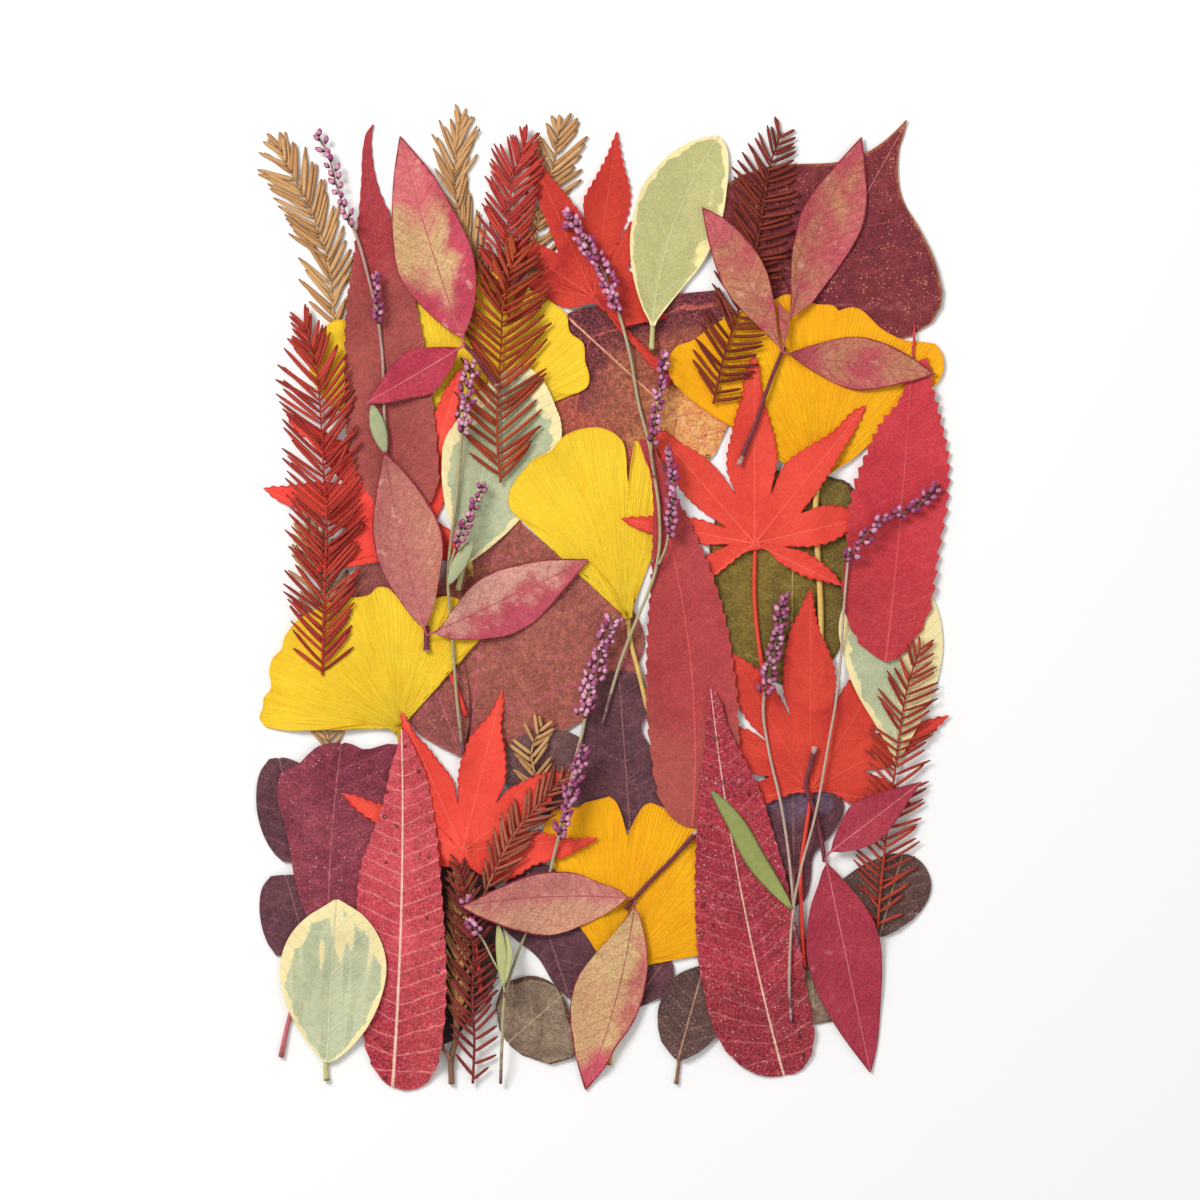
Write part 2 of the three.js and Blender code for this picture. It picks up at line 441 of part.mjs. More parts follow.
lay('flower_stem_left', FINISH.flowerPurple,
  spike([[-39.5, 75], [-41, 68], [-42.3, 61], [-43, 53]], 6.5),
  ribbon([[-42.8, 56], [-44, 42], [-45, 32], [-46.5, 20], [-47.5, 8], [-46.7, -3], [-46, -13],
    [-45, -26], [-43, -45]], FINE_STEM_WIDTH),
  spike([[-36.5, 38], [-39, 32], [-42.5, 24.5], [-45, 18]], 5),
  ribbon([[-44, 20.5], [-45.7, 16], [-47.2, 10]], FINE_STEM_WIDTH),
  [[-47.3, 6.5], [-46, 12.5], [-42, 19], [-39.5, 20.5], [-41.5, 14.5], [-45, 8]]);

lay('flower_stem_top_left', FINISH.flowerPurple,
  spike([[-88, 144.5], [-84, 137], [-81, 128], [-77, 115]], 6.5),
  ribbon([[-78, 119], [-75.5, 113], [-72, 101], [-69, 88], [-67.5, 76], [-67, 62], [-66.5, 48]],
    FINE_STEM_WIDTH),
  spike([[-69.3, 102], [-69, 96.5], [-68.9, 92], [-69, 86.5]], 3.6),
  [[-72.3, 58.3], [-69, 61], [-66.3, 61.7], [-65.7, 53], [-66.5, 46.5], [-69.7, 51.5]]);

lay('nandina_top_left', FINISH.nandinaPink,
  [[-42, 79], [-47, 83.5], [-53, 89], [-58.5, 94], [-62.7, 101], [-64.3, 109], [-64.7, 120],
    [-64, 132], [-62.3, 143.7], [-58, 138.7], [-52.5, 132], [-46, 121], [-41, 111], [-38, 101.5],
    [-37.5, 95], [-38.7, 87]],
  [[-42, 80], [-49, 79.3], [-56, 79.2], [-60, 77.8], [-65, 72.7], [-68.5, 67.7], [-72.7, 61.5],
    [-66, 61.7], [-59, 63.3], [-53, 64.3], [-47.7, 68], [-44, 73.5]],
  ribbon([[-45.5, 80.3], [-42.5, 79.3], [-39.5, 76.3], [-36, 72], [-32.5, 67]], 1.5));

lay('nandina_top_right', FINISH.nandinaPink,
  [[54.5, 77], [48.5, 83], [43, 87.5], [37.7, 94], [34, 103], [31.3, 113], [29.7, 121.7],
    [36.5, 118], [44.5, 110.5], [49.5, 102.5], [52, 92.5], [53, 84]],
  [[54.3, 77], [56, 84], [56.8, 92], [56.8, 101], [57.3, 108], [58.7, 115], [60.5, 121], [65, 128],
    [71.5, 135.5], [78.7, 143.3], [79.5, 132], [80.2, 123], [79.3, 115], [76.7, 108.5],
    [71, 100], [65.5, 93.5], [60, 86.5]],
  [[54, 77], [62, 79.7], [69, 82], [77, 82.4], [88, 79], [101.3, 70.7], [94, 68.5], [86, 66.7],
    [77, 65.5], [70, 67.3], [63, 71]],
  ribbon([[55, 79], [52, 72], [49, 64], [46, 55], [43, 48], [41, 43]], 1.4));

lay('nandina_left', FINISH.nandinaPink,
  [[-54, -8.5], [-58, -4], [-62.5, 2], [-66.5, 8.5], [-69.3, 15.5], [-70.5, 23], [-70, 31],
    [-68.7, 39], [-67, 47.3], [-61, 41.3], [-55.5, 34.3], [-50.7, 26], [-48, 17.5], [-48.7, 9],
    [-51, 1]],
  [[-54.5, -9.3], [-50, -6.5], [-45.5, -0.5], [-40, 6.5], [-33, 10.7], [-25, 12.8], [-16, 14.2],
    [-4.3, 14.3], [-9, 8.7], [-15, 1.5], [-21, -4.7], [-28, -8.8], [-35, -10.7], [-44, -11.3]],
  ribbon([[-54, -6], [-54, -13.7]], 1.8));

lay('nandina_right', FINISH.nandinaPink,
  [[67, -76.5], [68.3, -71], [71, -64.5], [75, -60.3], [80.5, -57.7], [88, -55.7], [97, -53.3],
    [93, -59], [88.5, -66], [84.5, -70.7], [79, -74], [73, -75.7]],
  [[67.3, -76], [65.5, -84], [62.5, -92], [61.3, -100], [62, -109], [65.5, -119], [71.5, -129.5],
    [81.3, -142.7], [83.3, -134], [84.3, -122], [84.8, -110], [84, -101], [81.3, -93.5],
    [76.5, -87], [70.7, -80]],
  ribbon([[67.3, -78], [66, -70], [64, -62], [61.5, -54.7], [63, -48], [64.3, -42.8]], 1.5),
  ribbon([[62, -56], [58.8, -53.2]], 1.3));

lay('flower_stem_center', FINISH.flowerPurple,
  spike([[-12, 120.5], [-5.5, 110.5], [-0.3, 102], [4.3, 90]], 7),
  ribbon([[3, 94], [6, 84], [8, 76], [10.5, 62], [14, 48], [15.3, 40], [16.7, 30], [17, 20],
    [16, 12], [13, 3], [10, -4], [5, -17], [2, -27], [-0.5, -36]], FINE_STEM_WIDTH),
  spike([[18.7, 78], [17.7, 70], [16.5, 62], [14.5, 50]], 4.6),
  ribbon([[15, 53], [14.3, 47], [15.3, 39]], FINE_STEM_WIDTH),
  spike([[19, 48.5], [20.5, 40], [20.7, 31], [19.7, 22]], 4.2),
  ribbon([[20, 25], [18.7, 17.5], [16.3, 12]], FINE_STEM_WIDTH));

lay('flower_stem_right', FINISH.flowerPurple,
  spike([[55, 3.5], [53.7, -5], [51.7, -14], [48.7, -26]], 6),
  ribbon([[49, -24], [48.5, -32], [50, -43], [54, -61], [56.5, -78], [57.5, -91], [56.7, -103],
    [56.4, -115], [57, -127]], FINE_STEM_WIDTH, 1.6),
  spike([[102, 37.5], [95.5, 30.5], [85, 26.3], [73.5, 14]], 5.2),
  ribbon([[74.5, 17], [73, 0], [72, -17], [71, -26], [68, -44], [64, -65], [59.5, -82],
    [57.5, -94], [59, -104]], FINE_STEM_WIDTH, 1.6),
  [[31.3, -54.3], [37, -59], [42.5, -66.5], [48, -74], [53, -83], [57.2, -93], [50, -85.5],
    [42, -74], [35.5, -63.5]]);

// ---------------------------------------------------------------- sagging over the layers below

const columns = Math.ceil((BUNCH_WIDTH + 2 * SAG_MARGIN) / SAG_CELL);
const rows = Math.ceil((BUNCH_LENGTH + 2 * SAG_MARGIN) / SAG_CELL);
const left = -BUNCH_WIDTH / 2 - SAG_MARGIN;
const bottom = -BUNCH_LENGTH / 2 - SAG_MARGIN;
const corner = (i, j) => j * (columns + 1) + i;

const gridPoints = [];
for (let j = 0; j <= rows; j += 1) {
  for (let i = 0; i <= columns; i += 1) {
    gridPoints.push([left + i * SAG_CELL, bottom + j * SAG_CELL]);
  }
}

const gridTriangles = [];
for (let j = 0; j < rows; j += 1) {
  for (let i = 0; i < columns; i += 1) {
    const [a, b, c, d] = [corner(i, j), corner(i + 1, j), corner(i + 1, j + 1), corner(i, j + 1)];
    gridTriangles.push([a, b, c], [a, c, d]);
  }
}

/** Twice the signed area of a triangle. */
function turn([ax, ay], [bx, by], [cx, cy]) {
  return (bx - ax) * (cy - ay) - (by - ay) * (cx - ax);
}

function insideOutline([x, y], outline) {
  let inside = false;
  outline.forEach(([ax, ay], i) => {
    const [bx, by] = outline[(i + 1) % outline.length];
    if ((ay > y) !== (by > y) && x < ax + (y - ay) / (by - ay) * (bx - ax)) {
      inside = !inside;
    }
  });
  return inside;
}

function segmentsCross(a, b, c, d) {
  return turn(a, b, c) * turn(a, b, d) <= 0 && turn(c, d, a) * turn(c, d, b) <= 0;
}

/** True where an outline covers any part of a triangle of the sagging grid. */
function touches(outline, triangle) {
  const corners = triangle.map((k) => gridPoints[k]);
  const within = (p) => corners.every((c, i) => turn(c, corners[(i + 1) % 3], p) >= 0);
  return outline.some(within)
    || corners.some((c) => insideOutline(c, outline))
    || outline.some((p, i) => corners.some(
      (c, k) => segmentsCross(p, outline[(i + 1) % outline.length], c, corners[(k + 1) % 3])));
}

/** The free height above each triangle's three corners, as the pile grows. */
const free = gridTriangles.map(() => [0, 0, 0]);

/** The underside height of a new piece at every grid point; it then raises the pile. */
function settle(outlines) {
  const covered = gridTriangles.map((triangle) => outlines.some((o) => touches(o, triangle)));
  const heights = gridPoints.map(() => 0);
  gridTriangles.forEach((triangle, t) => {
    if (covered[t]) {
      triangle.forEach((k, side) => {
        heights[k] = Math.max(heights[k], free[t][side]);
      });
    }
  });
  gridTriangles.forEach((triangle, t) => {
    if (covered[t]) {
      free[t] = triangle.map((k) => heights[k] + LEAF_THICKNESS + LEAF_GAP);
    }
  });
  return heights;
}

// ---------------------------------------------------------------- solids

/** A closed manifold from a three.js geometry, by its positions alone. */
function solidOf(geometry) {
  geometry.deleteAttribute('normal');
  geometry.deleteAttribute('uv');
  const merged = mergeVertices(geometry, 1e-4);
  return new wasm.Manifold(new wasm.Mesh({
    numProp: 3,
    vertProperties: new Float32Array(merged.attributes.position.array),
    triVerts: new Uint32Array(merged.index.array),
  }));
}

/** An upright prism on an outline, from below the table to above the pile. */
function prism(outline) {
  const shape = new THREE.Shape(outline.map(([x, y]) => new THREE.Vector2(x, y)));
  const geometry = new THREE.ExtrudeGeometry(shape, { depth: PRISM_HEIGHT, bevelEnabled: false });
  geometry.translate(0, 0, -PRISM_HEIGHT / 2);
  return solidOf(geometry);
}

/** A thin sheet over the whole grid whose underside has the given heights. */
function sheet(heights) {
  const count = gridPoints.length;
  const positions = [0, LEAF_THICKNESS].flatMap(
    (lift) => gridPoints.flatMap(([x, y], k) => [x, y, heights[k] + lift]));
  const rim = [];
  for (let i = 0; i < columns; i += 1) {
    rim.push([corner(i, 0), corner(i + 1, 0)], [corner(i + 1, rows), corner(i, rows)]);
  }
  for (let j = 0; j < rows; j += 1) {
    rim.push([corner(columns, j), corner(columns, j + 1)], [corner(0, j + 1), corner(0, j)]);
  }
  const index = [
    ...gridTriangles.flatMap(([a, b, c]) => [a, c, b, a + count, b + count, c + count]),
    ...rim.flatMap(([a, b]) => [a, b, b + count, a, b + count, a + count]),
  ];
  const geometry = new THREE.BufferGeometry();
  geometry.setAttribute('position', new THREE.Float32BufferAttribute(positions, 3));
  geometry.setIndex(index);
  return solidOf(geometry);
}

/** One piece of the bunch: its outlines joined, then cut from its sagging sheet. */
function piece({ name, finish, outlines }) {
  const upright = outlines.map(prism).reduce((whole, next) => whole.add(next));
  const solid = upright.intersect(sheet(settle(outlines))).getMesh();
  const geometry = new THREE.BufferGeometry();
  geometry.setAttribute('position', new THREE.Float32BufferAttribute(solid.vertProperties, 3));
  geometry.setIndex([...solid.triVerts]);
  geometry.computeVertexNormals();
  const mesh = new THREE.Mesh(geometry, new THREE.MeshStandardMaterial({ ...finish, metalness: 0 }));
  mesh.name = name;
  return mesh;
}

const leafBunch = new THREE.Group();
layers.forEach((layer) => leafBunch.add(piece(layer)));

export default leafBunch;
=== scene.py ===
"""A bunch of pressed autumn leaves, lying flat in layers on a pale table.

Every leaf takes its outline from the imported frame, and its own veins, relief and finish from here.
The leaves are laid one by one, lowest first, and each one sags over what lies below it.
Lengths are in millimetres until a mesh is written, which is in metres.
"""

import logging
import math
from dataclasses import dataclass, replace
from enum import Enum
from typing import Callable, ClassVar, Sequence

import bmesh
import bpy
import numpy as np
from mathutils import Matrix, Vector


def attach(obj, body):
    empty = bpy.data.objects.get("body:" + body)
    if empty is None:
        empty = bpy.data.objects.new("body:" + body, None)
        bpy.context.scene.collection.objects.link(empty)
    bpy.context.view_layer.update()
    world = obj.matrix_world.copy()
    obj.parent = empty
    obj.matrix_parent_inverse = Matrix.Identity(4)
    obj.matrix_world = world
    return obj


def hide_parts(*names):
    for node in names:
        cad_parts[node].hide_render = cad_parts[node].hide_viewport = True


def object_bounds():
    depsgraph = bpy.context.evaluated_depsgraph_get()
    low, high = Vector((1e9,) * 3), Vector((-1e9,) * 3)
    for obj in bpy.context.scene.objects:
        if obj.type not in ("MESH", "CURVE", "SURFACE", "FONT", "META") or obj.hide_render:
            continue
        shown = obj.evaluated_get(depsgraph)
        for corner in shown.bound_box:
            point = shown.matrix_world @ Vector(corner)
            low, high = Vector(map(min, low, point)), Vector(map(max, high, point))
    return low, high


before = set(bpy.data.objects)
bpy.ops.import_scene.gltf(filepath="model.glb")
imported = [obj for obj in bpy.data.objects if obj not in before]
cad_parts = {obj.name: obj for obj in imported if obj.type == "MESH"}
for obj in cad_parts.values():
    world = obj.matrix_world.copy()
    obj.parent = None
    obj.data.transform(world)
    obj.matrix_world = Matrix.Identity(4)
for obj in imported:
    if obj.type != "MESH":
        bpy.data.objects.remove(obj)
CAD_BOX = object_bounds()

LOG = logging.getLogger("leaf_bunch")
MM = 0.001
BODY = "root"
LEAF_THICKNESS = 0.2
LAYER_GAP = 0.07
RNG = np.random.default_rng(20)

Point = tuple[float, float]
Colour = tuple[int, int, int]


# ------------------------------------------------------------------ small tools

def linear(colour: Colour) -> tuple[float, float, float, float]:
    """Turns an 8-bit screen colour into the linear colour that a shader takes."""
    return (*[((c / 255 + 0.055) / 1.055) ** 2.4 if c > 10 else c / 255 / 12.92 for c in colour], 1.0)


def unit(vector: np.ndarray) -> np.ndarray:
    """Returns the vector, or each row of vectors, at length one."""
    return vector / np.maximum(np.linalg.norm(vector, axis=-1, keepdims=True), 1e-9)


def left_of(direction: np.ndarray) -> np.ndarray:
    """Returns each direction turned a quarter to the left."""
    return np.stack([-direction[..., 1], direction[..., 0]], axis=-1)


def spread(field_: np.ndarray, reach: int) -> np.ndarray:
    """Returns the highest value within reach cells of each cell."""
    wide = field_.copy()
    for axis in (0, 1):
        base = wide.copy()
        for step in range(1, reach + 1):
            wide = np.maximum(wide, np.roll(base, step, axis))
            wide = np.maximum(wide, np.roll(base, -step, axis))
    return wide


def soften(field_: np.ndarray, reach: int) -> np.ndarray:
    """Returns a twice box-blurred copy of the field."""
    out = field_
    for _ in range(2):
        for axis in (0, 1):
            out = sum(np.roll(out, s, axis) for s in range(-reach, reach + 1)) / (2 * reach + 1)
    return out


def resample(line: Sequence[Point], pitch: float) -> np.ndarray:
    """Returns points about pitch apart on a smooth curve through the line's points."""
    knots = np.array(line, float)
    runs = np.linalg.norm(np.diff(knots, axis=0), axis=1)
    tangent = np.gradient(knots, np.concatenate([[0], np.cumsum(runs)]), axis=0)
    found = []
    for i, run in enumerate(runs):
        count = max(1, round(run / pitch))
        t = np.arange(count)[:, None] / count
        found.append(hermite(knots[i], knots[i + 1], tangent[i] * run, tangent[i + 1] * run, t))
    return np.concatenate([*found, knots[-1:]])


def hermite(a: np.ndarray, b: np.ndarray, ta: np.ndarray, tb: np.ndarray, t: np.ndarray) -> np.ndarray:
    """Returns points at t from 0 to 1 on the cubic from a to b with the two end tangents."""
    t2, t3 = t * t, t * t * t
    return (2 * t3 - 3 * t2 + 1) * a + (t3 - 2 * t2 + t) * ta + (3 * t2 - 2 * t3) * b + (t3 - t2) * tb


# ------------------------------------------------------------------ the frame's outlines

class Outline:
    """The edge of one leaf of the frame seen from above, as a smooth closed loop.

    Args:
        node: the frame's node.
    """

    STEP = 0.5
    FLAT = 0.05
    SHARP = math.radians(48.0)

    def __init__(self, node: str) -> None:
        self.node = node
        self.loop = self._smooth(self._straighten(self._edge()))

    def _edge(self) -> np.ndarray:
        """Returns the node's upper rim, anticlockwise."""
        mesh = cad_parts[self.node].data
        spots = np.array([v.co for v in mesh.vertices]) / MM
        ahead: dict[tuple, tuple] = {}
        for face in mesh.polygons:
            if face.normal.z < 0.3:
                continue
            keys = [tuple(np.round(spots[v][:2], 2)) for v in face.vertices]
            for a, b in zip(keys, keys[1:] + keys[:1]):
                if not ahead.pop((b, a), None):
                    ahead[(a, b)] = (a, b)
        follow: dict[tuple, tuple] = dict(ahead.values())
        best: list[tuple] = []
        while follow:
            start, spot = follow.popitem()
            chain = [start]
            while spot in follow:
                chain.append(spot)
                spot = follow.pop(spot)
            chain.append(spot)
            best = chain if len(chain) > len(best) else best
        return np.array(best)

    def _straighten(self, loop: np.ndarray) -> np.ndarray:
        """Returns the loop without the points that lie on a straight stretch."""
        points = [p for i, p in enumerate(loop) if np.linalg.norm(p - loop[i - 1]) > 0.02]
        changed = True
        while changed:
            changed = False
            for i in range(len(points) - 1, -1, -1):
                a, p, b = points[i - 1], points[i], points[(i + 1) % len(points)]
                along = unit(b - a)
                if abs(np.dot(p - a, left_of(along))) < self.FLAT and np.dot(p - a, b - p) > 0:
                    points.pop(i)
                    changed = True
        return np.array(points)

    def _smooth(self, points: np.ndarray) -> np.ndarray:
        """Returns the loop rounded between its sharp corners, in short steps."""
        back = unit(points - np.roll(points, 1, 0))
        ahead = unit(np.roll(points, -1, 0) - points)
        turn = np.arccos(np.clip((back * ahead).sum(1), -1, 1))
        corner = turn > self.SHARP
        middle = unit(back + ahead)
        leaving = np.where(corner[:, None], ahead, middle)
        arriving = np.where(corner[:, None], back, middle)
        found = []
        for i, a in enumerate(points):
            j = (i + 1) % len(points)
            run = np.linalg.norm(points[j] - a)
            count = max(1, round(run / self.STEP))
            t = np.arange(count)[:, None] / count
            found.append(hermite(a, points[j], leaving[i] * run, arriving[j] * run, t))
        return np.concatenate(found)

    def reach(self, origin: np.ndarray, direction: np.ndarray) -> float:
        """Returns how far a ray runs from a place inside to the nearest edge, or 0 if it meets none."""
        a = self.loop - origin
        b = np.roll(self.loop, -1, 0) - origin
        side = left_of(direction)
        sa, sb = a @ side, b @ side
        cross = (sa > 0) != (sb > 0)
        share = sa[cross] / (sa[cross] - sb[cross])
        along = (a[cross] @ direction) * (1 - share) + (b[cross] @ direction) * share
        along = along[along > 0.02]
        return float(along.min()) if len(along) else 0.0


# ------------------------------------------------------------------ the growing pile

class Pile:
    """How high the bunch stands over the table at every millimetre, as leaves are laid on it."""

    CELL = 1.0
    MARGIN = 16

    def __init__(self) -> None:
        low, high = (np.array(corner[:2]) / MM for corner in CAD_BOX)
        self.origin = low - self.MARGIN
        size = ((high - low + 2 * self.MARGIN) / self.CELL).astype(int) + 1
        self.top = np.zeros((size[1], size[0]))

    def _cells(self, points: np.ndarray) -> tuple[np.ndarray, np.ndarray]:
        """Returns the row and column of the cell that holds each point."""
        spots = np.rint((points - self.origin) / self.CELL).astype(int)
        return spots[:, 1], spots[:, 0]

    def _read(self, field_: np.ndarray, points: np.ndarray) -> np.ndarray:
        """Returns the field at each point, blended between cells."""
        spots = (points - self.origin) / self.CELL
        whole = np.floor(spots).astype(int)
        fx, fy = (spots - whole).T
        x, y = whole.T
        low = field_[y, x] * (1 - fx) + field_[y, x + 1] * fx
        high = field_[y + 1, x] * (1 - fx) + field_[y + 1, x + 1] * fx
        return low * (1 - fy) + high * fy

    def lay(self, points: np.ndarray, stiffness: int = 7, reach: int = 2) -> np.ndarray:
        """Rests a thin piece on the pile.

        Args:
            points: the piece's points from above, about a millimetre apart.
            stiffness: how many times the sag is eased.
            reach: how far each easing looks, in cells.

        Returns:
            The height of the piece's underside at each point.
        """
        mask = np.zeros_like(self.top)
        mask[self._cells(points)] = 1
        mask = spread(mask, 2)
        support = spread(self.top, 1) * mask
        weight = soften(mask, reach) + 1e-6
        sag = support
        for _ in range(stiffness):
            sag = np.maximum(support, soften(sag * mask, reach) / weight) * mask
        return self._read(sag, points) + LAYER_GAP

    def cover(self, points: np.ndarray, tops: np.ndarray) -> None:
        """Raises the pile to the upper side of a piece that has been laid."""
        layer = np.zeros_like(self.top)
        np.maximum.at(layer, self._cells(points), tops)
        self.top = np.maximum(self.top, np.where(layer > 0, layer, spread(layer, 1) * 0.999))


PILE = Pile()


# ------------------------------------------------------------------ meshes

def add_object(name: str, data: bpy.types.ID) -> bpy.types.Object:
    """Puts a new object with its data in the scene."""
    made = bpy.data.objects.new(name, data)
    bpy.context.scene.collection.objects.link(made)
    return made


def write_piece(name: str, build: bmesh.types.BMesh, material: bpy.types.Material, node: str) -> bpy.types.Object:
    """Makes an object of a finished bmesh and ties it to the frame.

    Args:
        name: the piece's name.
        build: its mesh, in metres, which is freed.
        material: its finish.
        node: the frame's node that it stands for.

    Returns:
        The new object.
    """
    mesh = bpy.data.meshes.new(name)
    build.to_mesh(mesh)
    build.free()
    mesh.materials.append(material)
    piece = add_object(name, mesh)
    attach(piece, BODY)
    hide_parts(node)
    LOG.info("%s: %d faces", name, len(mesh.polygons))
    return piece


def grid_mesh(build: bmesh.types.BMesh, spots: np.ndarray, uv: np.ndarray,
              marks: dict[str, np.ndarray]) -> None:
    """Adds a grid whose corners stand at the given places.

    Args:
        build: the mesh to add to.
        spots: rows x columns x 3 places in millimetres.
        uv: rows x columns x 2 vein coordinates.
        marks: rows x columns values to keep on the vertices, by layer name.
    """
    rows, columns = spots.shape[:2]
    floats = {name: build.verts.layers.float.get(name) or build.verts.layers.float.new(name)
              for name in marks}
    leaf_map = build.loops.layers.uv.get("leaf") or build.loops.layers.uv.new("leaf")
    made = bmesh.ops.create_grid(build, x_segments=columns - 1, y_segments=rows - 1, size=1)["verts"]
    for vertex, spot in zip(made, spots.reshape(-1, 3) * MM):
        vertex.co = spot
    for name, values in marks.items():
        for vertex, value in zip(made, values.reshape(-1)):
            vertex[floats[name]] = value
    place = {vertex: value for vertex, value in zip(made, uv.reshape(-1, 2))}
    for face in {face for vertex in made for face in vertex.link_faces}:
        for loop in face.loops:
            loop[leaf_map].uv = place[loop.vert]


def bar(build: bmesh.types.BMesh, line: np.ndarray, half_widths: np.ndarray, half_heights: np.ndarray,
        sides: int = 6, tone: float = 0.5) -> None:
    """Adds a closed round or flattened rod along a line; both of its ends close to a point.

    Args:
        build: the mesh to add to.
        line: the places along its middle, in millimetres.
        half_widths: half its width at each place.
        half_heights: half its height at each place.
        sides: the faces round it.
        tone: a value kept on its vertices, for shading it apart from its neighbours.
    """
    line = np.concatenate([line[:1], line, line[-1:]])
    wide = np.concatenate([[0], half_widths, [0]])
    high = np.concatenate([[0], half_heights, [0]])
    ahead = unit(np.gradient(line, axis=0))
    side = unit(np.cross(ahead, np.array([0.0, 0.0, 1.0])))
    up = np.cross(side, ahead)
    angles = np.linspace(0, 2 * math.pi, sides + 1)
    spots = (line[:, None] + side[:, None] * (np.cos(angles)[None] * wide[:, None])[..., None]
             + up[:, None] * (np.sin(angles)[None] * high[:, None])[..., None])
    run = np.cumsum(np.linalg.norm(np.diff(line, axis=0, prepend=line[:1]), axis=1))
    across = np.cos(angles)[None] * wide[:, None]
    uv = np.stack(np.broadcast_arrays(run[:, None], across), axis=-1)
    share = np.broadcast_to((run / max(run[-1], 1e-6))[:, None], across.shape)
    grid_mesh(build, spots, uv, {"tone": np.full(across.shape, tone), "share": share})


def close_shells(build: bmesh.types.BMesh) -> None:
    """Closes the seams and ends of rods, turns their faces outward and shades them smooth."""
    bmesh.ops.remove_doubles(build, verts=build.verts, dist=1e-6)
    bmesh.ops.dissolve_degenerate(build, edges=build.edges, dist=1e-7)
    bmesh.ops.recalc_face_normals(build, faces=build.faces)
    for face in build.faces:
        face.smooth = True


@dataclass
class Patch:
    """A stretch of leaf blade before it is laid: a grid of points, its vein coordinates and relief.

    Args:
        points: rows x columns x 2 places from above.
        uv: vein coordinates at the same places, as grid_mesh takes them.
        rim: the distance to the leaf's edge.
        relief: the height of veins and folds over the sagging blade.
    """

    points: np.ndarray
    uv: np.ndarray
    rim: np.ndarray
    relief: np.ndarray


@dataclass
class Sheet:
    """A whole leaf blade before it is laid.

    Args:
        patches: its stretches, which share their border points.
    """

    patches: list[Patch]

    CURL = 0.8
    CURLED_RIM = 7.0

    def lay(self, name: str, material: bpy.types.Material, node: str, slot: str) -> None:
        """Rests the sheet on the pile and makes it a piece.

        Args:
            name: the piece's name.
            material: its finish.
            node: the frame's node.
            slot: the record's slot; not used.
        """
        flat = np.concatenate([patch.points.reshape(-1, 2) for patch in self.patches])
        rim = np.concatenate([patch.rim.reshape(-1) for patch in self.patches])
        relief = np.concatenate([patch.relief.reshape(-1) for patch in self.patches])
        edge = np.clip(1 - rim / self.CURLED_RIM, 0, 1) ** 2
        sway = 0.5 + 0.5 * np.sin(flat[:, 0] * 0.21 + 1.3 * np.sin(flat[:, 1] * 0.13) + len(name))
        height = PILE.lay(flat) + edge * sway * self.CURL + relief
        PILE.cover(flat, height + LEAF_THICKNESS)
        build = bmesh.new()
        used = 0
        for patch in self.patches:
            count = patch.rim.size
            here = height[used:used + count].reshape(patch.rim.shape)
            used += count
            grid_mesh(build, np.concatenate([patch.points, here[..., None]], axis=-1), patch.uv,
                      {"rim": patch.rim})
        bmesh.ops.remove_doubles(build, verts=build.verts, dist=2e-5)
        bmesh.ops.dissolve_degenerate(build, edges=build.edges, dist=1e-5)
        if sum(face.normal.z * face.calc_area() for face in build.faces) < 0:
            bmesh.ops.reverse_faces(build, faces=build.faces)
        for face in build.faces:
            face.smooth = True
        for rim_edge in build.edges:
            if rim_edge.is_boundary:
                rim_edge.smooth = False
        piece = write_piece(name, build, material, node)
        solid = piece.modifiers.new("thickness", "SOLIDIFY")
        solid.thickness = LEAF_THICKNESS * MM
        solid.offset = 1


@dataclass
class Teeth:
    """A saw-toothed edge.

    Args:
        pitch: the distance between teeth.
        depth: how far each stands out.
    """

    pitch: float
    depth: float

    def out(self, along: np.ndarray) -> np.ndarray:
        """Returns how far the edge stands out at each distance along it, towards the tip."""
        share = (along / self.pitch) % 1.0
        return self.depth * np.where(share < 0.72, share / 0.72, (1 - share) / 0.28)


